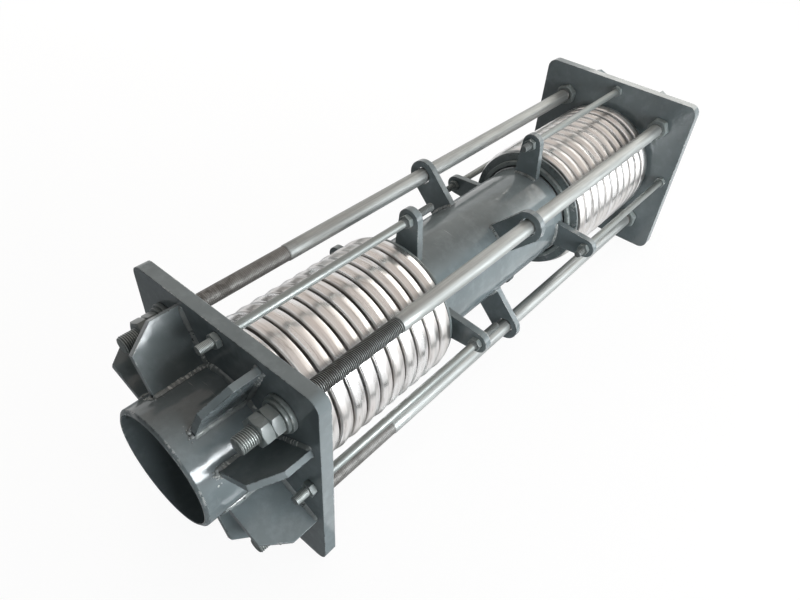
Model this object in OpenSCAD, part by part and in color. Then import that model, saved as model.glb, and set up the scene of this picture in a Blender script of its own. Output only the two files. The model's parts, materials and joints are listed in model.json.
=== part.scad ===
// Tied universal expansion joint for a DN200 pipeline.
// Two stainless bellows stand between gusseted square end plates and a centre spool.
// Four tie rods run from plate to plate through guide lugs on the spool, and eight
// thinner limit rods keep each bellows from stretching.
// Frame: origin on the pipe axis at mid-length, +X along the pipe, +Z up, millimetres.

/* [Pipes] */
// Outside diameter of the pipe
pipe_od = 219.1; // [180:0.1:260]
// Wall of the pipe
pipe_wall = 8; // [6:0.5:10]
// Length of pipe outside each end plate
stub_len = 135; // [115:1:220]
// Angle of the weld bevel from the pipe's end face
bevel_angle = 35; // [25:1:45]
// Width of the flat land left at the bevelled end
bevel_land = 2; // [1:0.5:4]

/* [End plates] */
// Distance between the inner faces of the end plates
plate_gap = 1246; // [1200:2:1600]
// Thickness of an end plate
plate_thk = 24; // [14:1:30]
// Distance from a tie rod's centre to the nearest edge of the plate
plate_edge = 74.5; // [60:0.5:95]
// Corner radius of an end plate
plate_corner_r = 22; // [5:1:40]

/* [Gussets] */
// Thickness of a gusset
gusset_thk = 12; // [8:1:16]
// Length of a gusset along the pipe
gusset_len = 95; // [75:1:110]
// Length of a gusset's outer edge, next to the plate
gusset_tip_len = 50; // [30:1:65]
// Distance from a gusset's tip to the edge of the plate
gusset_edge = 16; // [8:1:30]
// Height of a gusset's slanted corner
gusset_slant = 33; // [15:1:50]
// Angle between a gusset and the tie rod that it flanks
gusset_spread = 19; // [16:0.5:24]

/* [Bellows] */
// Number of convolutions in one bellows
conv_count = 11; // [6:1:14]
// Length of one convolution
conv_pitch = 33; // [28:0.5:34]
// Height of a crest above the pipe's surface
conv_h = 39.95; // [28:0.05:45]
// Wall of the bellows
bellows_wall = 1.2; // [1:0.1:2]
// Open gap between two crests
conv_gap = 4.6; // [3:0.1:8]
// Radius of a crest's shoulder
conv_shoulder_r = 5; // [4:0.5:8]
// Angle at which the two halves of a crest rise to its ridge
crest_slope = 10; // [6:1:14]
// Radius of a crest's ridge
crest_ridge_r = 3; // [2.5:0.5:5]
// Length of the plain cuff at the end plate
cuff_len = 10; // [6:1:16]
// Clearance between a cuff and the pipe
cuff_fit = 0.3; // [0.1:0.05:0.5]
// Distance from a plate to the first convolution
cuff_room = 14; // [8:1:20]

/* [Spool rings] */
// Thickness of the annular end ring beside each bellows
end_ring_thk = 6; // [4:1:16]
// Gap between the end ring and the bellows' first root
end_ring_air = 1; // [0.5:0.5:3]
// Step in radius from a crest's ridge down to the end ring
end_ring_step = 7; // [2:0.5:12]
// Length of the collar in front of the end ring
collar_len = 10; // [6:1:16]
// Radial gap between the pipe and the collar
collar_air = 5.5; // [3:0.5:8]
// Radial wall of the collar
collar_wall = 10; // [6:0.5:14]

/* [Tie rods] */
// Diameter of a tie rod's plain shank
tie_rod_d = 32; // [26:1:36]
// Step in radius from the shank down to the thread
tie_thread_step = 1; // [0.5:0.5:2]
// Radial space between a bellows and a tie rod
tie_air = 26.1; // [20:0.1:45]
// Length of a tie rod past each end plate
tie_tail = 82; // [74:1:120]
// Length of thread inside the left end plate
tie_thread_left = 223; // [60:1:300]
// Length of thread inside the right end plate
tie_thread_right = 26; // [22:1:60]
// Radial clearance of a tie rod's thread in a plate
tie_hole_play = 1.5; // [1:0.1:3]
// Chamfer at the end of a tie rod
tie_chamfer = 2; // [0.5:0.5:4]

/* [Tie rod nuts and washers] */
// Width across flats of a tie rod nut
tie_nut_af = 46; // [44:1:55]
// Thickness of a tie rod nut
tie_nut_thk = 19; // [15:1:20]
// Diameter of the seat washer against the plate
seat_washer_d = 64; // [56:1:76]
// Thickness of the seat washer
seat_washer_thk = 8; // [5:0.5:10]
// Diameter of the thrust washer under the nut
thrust_washer_d = 57; // [50:1:64]
// Thickness of the thrust washer
thrust_washer_thk = 6; // [3:0.5:8]
// Radial clearance of a washer on the thread
washer_play = 0.8; // [0.3:0.1:1.5]
// Radial clearance of a nut's bore on the thread
nut_play = 0.1; // [0.05:0.05:0.3]
// Turn of each nut about its rod, from flats square to the pipe's radius
nut_turn = 18; // [0:1:59]
// Gap at rest between a sliding plate or lug and the nut or washer that stops it
stop_gap = 0.3; // [0.3:0.1:0.6]

/* [Tie rod lugs] */
// Thickness of a tie rod lug
tie_lug_thk = 14; // [10:1:18]
// Radial clearance of a tie rod in its lug
tie_lug_play = 3; // [1:0.5:5]
// Width of metal round the hole of a tie rod lug
tie_lug_rim = 14; // [9:0.5:18]

/* [Limit rods] */
// Diameter of a limit rod
limit_rod_d = 16; // [12:1:20]
// Radial space between a bellows and a limit rod
limit_air = 29.5; // [22:0.5:36]
// Length of a limit rod past an end plate
limit_tail = 35; // [24:1:50]
// Length of a left limit rod past its lug
left_stub = 52; // [24:1:80]
// Length of a right limit rod past its lug
right_stub = 33; // [24:1:80]
// Radial clearance of a limit rod in a plate or a lug
limit_play = 1; // [0.5:0.1:2]
// Width across flats of a limit rod nut
limit_nut_af = 24; // [22:1:30]
// Thickness of a limit rod nut
limit_nut_thk = 10; // [8:0.5:14]
// Chamfer at the end of a limit rod
limit_chamfer = 1.2; // [0.5:0.1:2]

/* [Limit rod lugs] */
// Thickness of a limit rod lug
limit_lug_thk = 15; // [8:1:18]
// Distance from a limit rod lug to the collar
limit_lug_air = 10; // [6:1:20]
// Width of metal round the hole of a limit rod lug
limit_lug_rim = 13.5; // [8:0.5:16]
// Half width of a limit rod lug where it meets the pipe
limit_lug_foot = 29; // [27:1:55]

/* [Hidden] */

// Colours as the photo shows them
PAINT = [0.44, 0.49, 0.51];
ZINC = [0.70, 0.72, 0.72];
STAINLESS = [0.84, 0.81, 0.79];

// Sides of the joint along the pipe
LEFT = -1;
RIGHT = 1;

// Radii about the pipe axis
pipe_r = pipe_od / 2;
bore_r = pipe_r - pipe_wall;
cuff_in_r = pipe_r + cuff_fit;
cuff_out_r = cuff_in_r + bellows_wall;
crest_r = pipe_r + conv_h;
end_ring_r = crest_r - end_ring_step;
collar_in_r = pipe_r + collar_air;
collar_out_r = collar_in_r + collar_wall;

// Stations along the pipe, counted from mid-length
plate_in_x = plate_gap / 2;
plate_out_x = plate_in_x + plate_thk;
pipe_end_x = plate_out_x + stub_len;
conv_out_x = plate_in_x - cuff_room;
conv_in_x = conv_out_x - conv_count * conv_pitch;
ring_x = conv_in_x - end_ring_air - end_ring_thk;
collar_x = ring_x - collar_len;
limit_lug_x = collar_x - limit_lug_air - limit_lug_thk;

// Rod places; a tie rod sits on the plate's diagonal, as far from the axis in Y as in Z
tie_r = tie_rod_d / 2;
tie_thread_r = tie_r - tie_thread_step;
tie_hole_r = tie_thread_r + tie_hole_play;
tie_circle_r = crest_r + tie_air + tie_r;
tie_off = tie_circle_r * cos(45);
limit_r = limit_rod_d / 2;
limit_circle_r = crest_r + limit_air + limit_r;
plate_half = tie_off + plate_edge;
tie_end_x = plate_out_x + tie_tail;

// Gusset heights
gusset_tip_r = (plate_half - gusset_edge) / cos(45 - gusset_spread);
gusset_corner_r = gusset_tip_r - gusset_slant;

// Lug sizes round their holes
tie_lug_hole_r = tie_r + tie_lug_play;
tie_lug_r = tie_lug_hole_r + tie_lug_rim;
limit_hole_r = limit_r + limit_play;
limit_lug_r = limit_hole_r + limit_lug_rim;

// Thickness of both washers outside a plate
washers_thk = seat_washer_thk + thrust_washer_thk;

// Depth that a lug or gusset reaches into the pipe before the pipe's outline is cut off
bite = pipe_r / 4;
// Overrun of a cutting tool past the face that it cuts
over = 1;

$fn = 96;

// Angle of rod number i about the pipe, counted from +Y towards +Z
function tie_angle(i) = 45 + 90 * (i - 1);
function limit_angle(i) = 90 * (i - 1);
// Angle of gusset number i: two gussets flank each tie rod
function gusset_angle(i) = tie_angle(ceil(i / 2)) + (i % 2 == 1 ? -gusset_spread : gusset_spread);

// Points of an arc about c with radius r, from angle a0 to a1 in the given number of steps
function arc(c, r, a0, a1, steps) =
    [for (i = [0 : steps]) let (a = a0 + (a1 - a0) * i / steps) c + r * [cos(a), sin(a)]];

// Point where the line from p touches the circle about c with radius r, on the far side of p
function tangent_point(p, c, r) =
    let (v = p - c, a = atan2(v[1], v[0]) - acos(r / norm(v)))
    c + r * [cos(a), sin(a)];

// The same list from its last entry to its first
function reversed(list) = [for (i = [len(list) - 1 : -1 : 0]) list[i]];

// Outline of one bellows surface from the first root to the last, as [radius, x] pairs.
// Each crest rises from two shoulders to a ridge in its middle, like a low roof.
// inset moves the outline into the metal by the wall, which gives the inner surface.
function conv_outline(inset) =
    let (root_r = conv_gap / 2 + inset,
         root_c = cuff_out_r + conv_gap / 2,
         shoulder_r = conv_shoulder_r - inset,
         shoulder_x = conv_gap / 2 + conv_shoulder_r,
         ridge_r = crest_ridge_r - inset,
         ridge_x = conv_pitch / 2,
         ridge_c = crest_r - crest_ridge_r,
         shoulder_c = ridge_c - (conv_shoulder_r - crest_ridge_r) / cos(crest_slope)
             - (ridge_x - shoulder_x) * tan(crest_slope))
    [for (i = [0 : conv_count])
        let (x = i * conv_pitch, first = i == 0, last = i == conv_count)
        each concat(
            arc([root_c, x], root_r, first ? 180 : 270, last ? 180 : 90, first || last ? 3 : 6),
            last ? [] : arc([shoulder_c, x + shoulder_x], shoulder_r, -90, -crest_slope, 4),
            last ? [] : arc([ridge_c, x + ridge_x], ridge_r, -crest_slope, crest_slope, 2),
            last ? [] : arc([shoulder_c, x + conv_pitch - shoulder_x], shoulder_r,
                            crest_slope, 90, 4))
    ];

// Stands children(), drawn about Z, on the pipe axis so that their Z points along +X
module on_axis() {
    rotate([0, 90, 0]) children();
}

// Draws children() on the named side of the joint; they are drawn for the right side
module on_side(side) {
    mirror([side == LEFT ? 1 : 0, 0, 0]) children();
}

// Turns children() about the pipe axis, from +Y towards +Z
module round_pipe(angle) {
    rotate([angle, 0, 0]) children();
}

// Plain cylinder along X from x0 to x1 at distance r_off from the axis, on the +Y side
module bar(x0, x1, r, r_off = 0) {
    translate([x0, r_off, 0]) on_axis() cylinder(h = x1 - x0, r = r);
}

// Flat ring about the pipe axis from x0 to x1
module ring(x0, x1, r_in, r_out) {
    difference() {
        bar(x0, x1, r_out);
        bar(x0 - over, x1 + over, r_in);
    }
}

// Square with round corners, centred on the origin
module rounded_square(side, r) {
    square([side - 2 * r, side], center = true);
    square([side, side - 2 * r], center = true);
    for (x = [-1, 1], y = [-1, 1])
        translate([x, y] * (side / 2 - r)) circle(r = r);
}

// Plate of the given thickness along X, from an outline drawn in Y and Z
module slab(x0, thk) {
    translate([x0, 0, 0]) rotate([90, 0, 90]) linear_extrude(height = thk) children();
}

// Hexagon nut with chamfered corners along X from x0, at distance r_off on the +Y side
module nut(x0, af, thk, hole_r, r_off) {
    corner_r = af / 2 / cos(30);
    chamfer = (corner_r - af / 2) * tan(30);
    translate([x0, r_off, 0]) on_axis() difference() {
        intersection() {
            rotate([0, 0, nut_turn]) cylinder(h = thk, r = corner_r, $fn = 6);
            rotate_extrude() polygon([
                [0, 0], [af / 2, 0], [corner_r, chamfer],
                [corner_r, thk - chamfer], [af / 2, thk], [0, thk]]);
        }
        translate([0, 0, -over]) cylinder(h = thk + 2 * over, r = hole_r);
    }
}

// Washer along X from x0, at distance r_off on the +Y side
module washer(x0, d, thk, hole_r, r_off) {
    difference() {
        bar(x0, x0 + thk, d / 2, r_off);
        bar(x0 - over, x0 + thk + over, hole_r, r_off);
    }
}

// Rod turned from a stepped outline; stations are [x, radius] pairs from end to end
module turned_rod(stations, r_off) {
    first = stations[0];
    last = stations[len(stations) - 1];
    outline = concat([[0, first[0]]], [for (s = stations) [s[1], s[0]]], [[0, last[0]]]);
    translate([0, r_off, 0]) on_axis() rotate_extrude() polygon(outline);
}

// Stub pipe through the end plate, with a weld bevel at its free end
module stub_pipe(side) {
    bevel_depth = (pipe_wall - bevel_land) * tan(bevel_angle);
    color(PAINT) on_side(side) on_axis() rotate_extrude() polygon([
        [bore_r, conv_out_x], [pipe_r, conv_out_x], [pipe_r, pipe_end_x - bevel_depth],
        [bore_r + bevel_land, pipe_end_x], [bore_r, pipe_end_x]]);
}

// Square end plate with the pipe's hole, four tie rod holes and four limit rod holes
module end_plate(side) {
    color(PAINT) on_side(side) difference() {
        slab(plate_in_x, plate_thk) rounded_square(2 * plate_half, plate_corner_r);
        bar(plate_in_x - over, plate_out_x + over, pipe_r);
        for (i = [1 : 4]) {
            round_pipe(tie_angle(i))
                bar(plate_in_x - over, plate_out_x + over, tie_hole_r, tie_circle_r);
            round_pipe(limit_angle(i))
                bar(plate_in_x - over, plate_out_x + over, limit_hole_r, limit_circle_r);
        }
    }
}

// Radial gusset between the pipe and the outer face of an end plate
module gusset(side, i) {
    color(PAINT) on_side(side) round_pipe(gusset_angle(i)) difference() {
        translate([plate_out_x, 0, -gusset_thk / 2]) linear_extrude(height = gusset_thk) polygon([
            [0, pipe_r - bite], [0, gusset_tip_r], [gusset_tip_len, gusset_tip_r],
            [gusset_len, gusset_corner_r], [gusset_len, pipe_r - bite]]);
        bar(plate_out_x - over, plate_out_x + gusset_len + over, pipe_r);
    }
}

// Thin-walled bellows: convolutions with roofed crests and narrow gaps between two plain cuffs
module bellows(side) {
    spool_cuff_x = collar_x - conv_in_x;
    plate_cuff_x = conv_out_x + cuff_len - conv_in_x;
    color(STAINLESS) on_side(side) on_axis() translate([0, 0, conv_in_x]) rotate_extrude()
        polygon(concat(
            [[cuff_out_r, spool_cuff_x]], conv_outline(0),
            [[cuff_out_r, plate_cuff_x], [cuff_in_r, plate_cuff_x]],
            reversed(conv_outline(bellows_wall)), [[cuff_in_r, spool_cuff_x]]));
}

// Centre spool between the two bellows
module spool_pipe() {
    color(PAINT) ring(-conv_in_x, conv_in_x, bore_r, pipe_r);
}

// Annular end ring that backs a bellows, seated on the bellows' cuff
module end_ring(side) {
    color(PAINT) on_side(side) ring(ring_x, ring_x + end_ring_thk, cuff_out_r, end_ring_r);
}

// Collar on the end ring, standing off the pipe
module collar(side) {
    color(PAINT) on_side(side) ring(collar_x, ring_x, collar_in_r, collar_out_r);
}

// Tie rod with threaded ends, fixed in the right end plate
module tie_rod(i) {
    color(ZINC) round_pipe(tie_angle(i)) turned_rod([
        [-tie_end_x, tie_thread_r - tie_chamfer], [-tie_end_x + tie_chamfer, tie_thread_r],
        [-plate_in_x + tie_thread_left, tie_thread_r],
        [-plate_in_x + tie_thread_left + tie_thread_step, tie_r],
        [plate_in_x - tie_thread_right - tie_thread_step, tie_r],
        [plate_in_x - tie_thread_right, tie_thread_r],
        [tie_end_x - tie_chamfer, tie_thread_r], [tie_end_x, tie_thread_r - tie_chamfer]
    ], tie_circle_r);
}

// Guide lug on the spool with a loose hole for a tie rod
module tie_lug(i) {
    color(PAINT) round_pipe(tie_angle(i)) difference() {
        slab(-tie_lug_thk / 2, tie_lug_thk) {
            translate([tie_circle_r, 0]) circle(r = tie_lug_r);
            translate([pipe_r - bite, -tie_lug_r])
                square([tie_circle_r - pipe_r + bite, 2 * tie_lug_r]);
        }
        bar(-tie_lug_thk, tie_lug_thk, tie_lug_hole_r, tie_circle_r);
        bar(-tie_lug_thk, tie_lug_thk, pipe_r);
    }
}

// One nut on the end of each tie rod of a side; row 0 seats on the washers, row 1 locks row 0
module tie_nuts(side, row) {
    seat_x = plate_out_x + washers_thk + (side == LEFT ? stop_gap : 0);
    color(side == LEFT ? PAINT : ZINC) on_side(side) for (i = [1 : 4])
        round_pipe(tie_angle(i))
            nut(seat_x + row * tie_nut_thk, tie_nut_af, tie_nut_thk,
                tie_thread_r + nut_play, tie_circle_r);
}

// One nut for each tie rod against the inner face of the right end plate
module inner_nuts() {
    color(ZINC) for (i = [1 : 4]) round_pipe(tie_angle(i))
        nut(plate_in_x - tie_nut_thk, tie_nut_af, tie_nut_thk,
            tie_thread_r + nut_play, tie_circle_r);
}

// Washers of one kind on both ends of each tie rod, start_x outside the plates
module tie_washers(start_x, d, thk) {
    color(PAINT) for (side = [LEFT, RIGHT], i = [1 : 4]) on_side(side) round_pipe(tie_angle(i))
        washer(plate_out_x + start_x + (side == LEFT ? stop_gap : 0), d, thk,
               tie_thread_r + washer_play, tie_circle_r);
}

// Seat washers, against the plates
module seat_washers() {
    tie_washers(0, seat_washer_d, seat_washer_thk);
}

// Thrust washers, between the seat washers and the nuts
module thrust_washers() {
    tie_washers(seat_washer_thk, thrust_washer_d, thrust_washer_thk);
}

// Limit rod from its lug on the spool out through the end plate
module limit_rod(side, i) {
    stub = side == LEFT ? left_stub : right_stub;
    color(ZINC) on_side(side) round_pipe(limit_angle(i)) turned_rod([
        [limit_lug_x - stub, limit_r - limit_chamfer], [limit_lug_x - stub + limit_chamfer, limit_r],
        [plate_out_x + limit_tail - limit_chamfer, limit_r],
        [plate_out_x + limit_tail, limit_r - limit_chamfer]
    ], limit_circle_r);
}

// Tapered lug on the spool that holds or guides a limit rod
module limit_lug(side, i) {
    foot = [pipe_r, limit_lug_foot];
    touch = tangent_point(foot, [limit_circle_r, 0], limit_lug_r);
    color(PAINT) on_side(side) round_pipe(limit_angle(i)) difference() {
        slab(limit_lug_x, limit_lug_thk) {
            translate([limit_circle_r, 0]) circle(r = limit_lug_r);
            polygon([
                [pipe_r - bite, -foot[1]], [foot[0], -foot[1]], [touch[0], -touch[1]],
                touch, foot, [pipe_r - bite, foot[1]]]);
        }
        bar(limit_lug_x - over, limit_lug_x + limit_lug_thk + over, limit_hole_r, limit_circle_r);
        bar(limit_lug_x - over, limit_lug_x + limit_lug_thk + over, pipe_r);
    }
}

// Nuts of the left limit rods: one outside the plate, and one on each face of the lug
module left_limit_nuts() {
    stations = [plate_out_x + stop_gap, limit_lug_x + limit_lug_thk, limit_lug_x - limit_nut_thk];
    color(ZINC) on_side(LEFT) limit_nut_rows(stations);
}

// Nuts of the right limit rods: one on each face of the plate, and one inside the lug
module right_limit_nuts() {
    stations = [plate_out_x, plate_in_x - limit_nut_thk, limit_lug_x - limit_nut_thk - stop_gap];
    color(ZINC) on_side(RIGHT) limit_nut_rows(stations);
}

// A nut at each station on all four limit rods of one side
module limit_nut_rows(stations) {
    for (x = stations, i = [1 : 4]) round_pipe(limit_angle(i))
        nut(x, limit_nut_af, limit_nut_thk, limit_r + nut_play, limit_circle_r);
}

stub_pipe(LEFT);  // left_pipe
stub_pipe(RIGHT);  // right_pipe
end_plate(LEFT);  // left_plate
end_plate(RIGHT);  // right_plate
gusset(LEFT, 1);  // left_gusset_1
gusset(LEFT, 2);  // left_gusset_2
gusset(LEFT, 3);  // left_gusset_3
gusset(LEFT, 4);  // left_gusset_4
gusset(LEFT, 5);  // left_gusset_5
gusset(LEFT, 6);  // left_gusset_6
gusset(LEFT, 7);  // left_gusset_7
gusset(LEFT, 8);  // left_gusset_8
gusset(RIGHT, 1);  // right_gusset_1
gusset(RIGHT, 2);  // right_gusset_2
gusset(RIGHT, 3);  // right_gusset_3
gusset(RIGHT, 4);  // right_gusset_4
gusset(RIGHT, 5);  // right_gusset_5
gusset(RIGHT, 6);  // right_gusset_6
gusset(RIGHT, 7);  // right_gusset_7
gusset(RIGHT, 8);  // right_gusset_8
bellows(LEFT);  // left_bellows
bellows(RIGHT);  // right_bellows
spool_pipe();
end_ring(LEFT);  // left_end_ring
end_ring(RIGHT);  // right_end_ring
collar(LEFT);  // left_collar
collar(RIGHT);  // right_collar
tie_rod(1);  // tie_rod_1
tie_rod(2);  // tie_rod_2
tie_rod(3);  // tie_rod_3
tie_rod(4);  // tie_rod_4
tie_lug(1);  // tie_lug_1
tie_lug(2);  // tie_lug_2
tie_lug(3);  // tie_lug_3
tie_lug(4);  // tie_lug_4
tie_nuts(LEFT, 0);  // left_tie_nuts
tie_nuts(LEFT, 1);  // left_lock_nuts
tie_nuts(RIGHT, 0);  // right_tie_nuts
tie_nuts(RIGHT, 1);  // right_lock_nuts
inner_nuts();  // right_inner_nuts
seat_washers();
thrust_washers();
limit_rod(LEFT, 1);  // left_limit_rod_1
limit_rod(LEFT, 2);  // left_limit_rod_2
limit_rod(LEFT, 3);  // left_limit_rod_3
limit_rod(LEFT, 4);  // left_limit_rod_4
limit_rod(RIGHT, 1);  // right_limit_rod_1
limit_rod(RIGHT, 2);  // right_limit_rod_2
limit_rod(RIGHT, 3);  // right_limit_rod_3
limit_rod(RIGHT, 4);  // right_limit_rod_4
limit_lug(LEFT, 1);  // left_limit_lug_1
limit_lug(LEFT, 2);  // left_limit_lug_2
limit_lug(LEFT, 3);  // left_limit_lug_3
limit_lug(LEFT, 4);  // left_limit_lug_4
limit_lug(RIGHT, 1);  // right_limit_lug_1
limit_lug(RIGHT, 2);  // right_limit_lug_2
limit_lug(RIGHT, 3);  // right_limit_lug_3
limit_lug(RIGHT, 4);  // right_limit_lug_4
left_limit_nuts();
right_limit_nuts();
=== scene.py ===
"""Looks of the tied expansion joint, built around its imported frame.

The pipe axis is X, the near (left) end points to -X, Z is up, and the part stands on the lower
edges of its two end plates. Sizes in the classes are in millimetres; meshes are handed over in
metres. The studio's lengths are in metres.
"""

from __future__ import annotations

import json
import logging
import math
from dataclasses import dataclass, field
from enum import Enum
from typing import TypeVar

import bmesh
import bpy
import numpy as np
from mathutils import Matrix, Vector

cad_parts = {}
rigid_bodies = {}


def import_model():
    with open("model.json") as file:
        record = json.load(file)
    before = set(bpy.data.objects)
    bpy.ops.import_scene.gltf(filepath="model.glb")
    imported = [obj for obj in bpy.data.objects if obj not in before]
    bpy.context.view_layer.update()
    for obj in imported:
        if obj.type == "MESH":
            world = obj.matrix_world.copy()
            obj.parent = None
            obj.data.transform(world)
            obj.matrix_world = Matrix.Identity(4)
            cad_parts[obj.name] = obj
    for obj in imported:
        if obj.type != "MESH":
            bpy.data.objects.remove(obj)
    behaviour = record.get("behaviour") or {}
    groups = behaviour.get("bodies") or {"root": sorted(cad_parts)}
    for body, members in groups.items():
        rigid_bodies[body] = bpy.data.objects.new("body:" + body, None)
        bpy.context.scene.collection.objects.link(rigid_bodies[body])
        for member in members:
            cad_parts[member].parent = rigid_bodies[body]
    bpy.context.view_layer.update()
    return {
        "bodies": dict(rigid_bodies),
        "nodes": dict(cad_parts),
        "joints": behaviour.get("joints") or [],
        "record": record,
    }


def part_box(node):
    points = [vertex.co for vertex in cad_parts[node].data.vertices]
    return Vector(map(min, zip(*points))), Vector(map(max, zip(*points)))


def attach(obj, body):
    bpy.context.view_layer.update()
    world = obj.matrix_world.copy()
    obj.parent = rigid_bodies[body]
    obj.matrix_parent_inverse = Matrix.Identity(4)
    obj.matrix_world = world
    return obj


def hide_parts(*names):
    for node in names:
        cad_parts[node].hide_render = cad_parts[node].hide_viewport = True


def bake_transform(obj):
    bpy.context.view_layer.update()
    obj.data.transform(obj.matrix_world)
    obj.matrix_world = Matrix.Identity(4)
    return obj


LOG = logging.getLogger("expansion_joint")
MM = 0.001
TAU = 2.0 * math.pi
MERGE = 2e-6
NUMBERS = range(1, 5)
Triple = tuple[float, float, float]
Colour = Triple
Pair = tuple[float, float]
Surface = tuple[np.ndarray, np.ndarray]
Either = TypeVar("Either")


class End(Enum):
    """The two ends of the joint, with the sign of their X."""

    LEFT = -1
    RIGHT = 1

    @property
    def word(self) -> str:
        """The end's name as the frame's nodes use it."""
        return self.name.lower()

    @property
    def body(self) -> str:
        """The body that this end's plate rides on."""
        return f"{self.word}_end"

    def pick(self, pair: tuple[Either, Either]) -> Either:
        """This end's one of a (left, right) pair."""
        return pair[self is End.RIGHT]


def tie_angle(number: int) -> float:
    """Angle of tie rod 1 to 4 about the pipe, in radians from +Y towards +Z."""
    return math.radians(45.0 + 90.0 * (number - 1))


def limit_angle(number: int) -> float:
    """Angle of limit rod 1 to 4 about the pipe, in radians from +Y towards +Z."""
    return math.radians(90.0 * (number - 1))


def off_axis(radius: float, angle: float) -> Pair:
    """The (y, z) of a point at this radius and angle about the pipe axis."""
    return radius * math.cos(angle), radius * math.sin(angle)


def away(turn: np.ndarray) -> np.ndarray:
    """Unit vectors (0, cos a, sin a) that point away from the pipe axis."""
    return np.stack([0 * turn, np.cos(turn), np.sin(turn)], axis=-1)


def on_axis(x: np.ndarray) -> np.ndarray:
    """Points (x, 0, 0) on the pipe axis."""
    return np.stack([x, 0 * x, 0 * x], axis=-1)


# Surfaces


def grid_quads(rows: int, columns: int, loop_rows: bool, loop_columns: bool) -> np.ndarray:
    """Joins neighbouring points of a grid by quads.

    Point (i, j) has the number i * columns + j, and a loop joins the last row or column to the
    first.

    Args:
        rows: How many rows the grid has.
        columns: How many points a row has.
        loop_rows: Whether the last row joins the first.
        loop_columns: Whether the last column joins the first.

    Returns:
        An array of four point numbers for each quad.
    """
    i = np.arange(rows if loop_rows else rows - 1)[:, None]
    j = np.arange(columns if loop_columns else columns - 1)[None, :]
    i, j = np.broadcast_arrays(i, j)
    row, next_row = i * columns, (i + 1) % rows * columns
    next_j = (j + 1) % columns
    corners = [row + j, row + next_j, next_row + next_j, next_row + j]
    return np.stack(corners, axis=-1).reshape(-1, 4)


def polar_points(x: np.ndarray, radius: np.ndarray, angle: np.ndarray, centre: Pair) -> np.ndarray:
    """Points (x, cy + r cos a, cz + r sin a) of a grid, one row after another.

    Args:
        x: Place along the pipe axis, for each row and column.
        radius: Distance from the centre, for each row, or for each row and column.
        angle: Angle round the centre, for each column.
        centre: The (y, z) that the radius starts from.

    Returns:
        The points.
    """
    y = centre[0] + radius * np.cos(angle)
    z = centre[1] + radius * np.sin(angle)
    return np.stack([np.broadcast_to(x, y.shape), y, z], axis=-1).reshape(-1, 3)


def revolve(
    profile: np.ndarray, columns: int, centre: Pair = (0.0, 0.0), closed: bool = True
) -> Surface:
    """Turns a profile of (x, radius) about an axis along X.

    Each point is (x, cy + r cos a, cz + r sin a), with a going once round in equal steps.

    Args:
        profile: Rows of x and radius, outer side running towards +X.
        columns: Steps round the axis.
        centre: The axis' (y, z).
        closed: Whether the profile's last point joins its first.

    Returns:
        The points and the quads.
    """
    turn = np.arange(columns) * TAU / columns
    points = polar_points(profile[:, :1], profile[:, 1:2], turn, centre)
    return points, grid_quads(len(profile), columns, closed, True)


def thread_surface(
    span: Pair, crest: float, root: float, pitch: float, columns: int, centre: Pair
) -> tuple[np.ndarray, np.ndarray, np.ndarray]:
    """A screw thread along X whose rows climb one pitch a turn.

    Point (i, j) is at x = base_i + pitch * j / columns. Its radius is the crest's or the root's by
    its row, and at both ends it stays under a cone of 45 degrees that starts at the root. What
    would lie past an end is drawn in to that end's root circle, where doubles merge.

    Args:
        span: Where the thread starts and ends.
        crest: Radius of its crests.
        root: Radius of its roots.
        pitch: Distance from crest to crest.
        columns: Steps round the axis.
        centre: The axis' (y, z).

    Returns:
        The points, the quads, and for each point 1 on a crest and 0 in a root.
    """
    x_start, x_end = span
    row_places = np.array([0.0, 0.15, 0.45, 0.72])
    row_heights = np.array([1.0, 1.0, 0.0, 0.0])
    spare_turns = 3
    turns = math.ceil((x_end - x_start) / pitch) + spare_turns
    base = (x_start - pitch + pitch * (np.arange(turns)[:, None] + row_places)).reshape(-1, 1)
    turn = np.arange(columns) / columns
    x = base + pitch * turn
    height = np.tile(row_heights, turns)[:, None] * np.ones_like(x)
    inside = (x > x_start) & (x < x_end)
    cone = np.minimum(x - x_start, x_end - x)
    radius = np.where(inside, np.minimum(root + (crest - root) * height, root + cone), root)
    points = polar_points(np.clip(x, x_start, x_end), radius, TAU * turn, centre)
    rows = len(base)
    quads = grid_quads(rows, columns, False, False)
    i = np.arange(rows - 1 - len(row_places))
    last, first = i * columns + columns - 1, (i + len(row_places)) * columns
    seam = np.stack([last, first, first + columns, last + columns], axis=-1)
    return points, np.concatenate([quads, seam]), (height * inside).reshape(-1)


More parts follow.
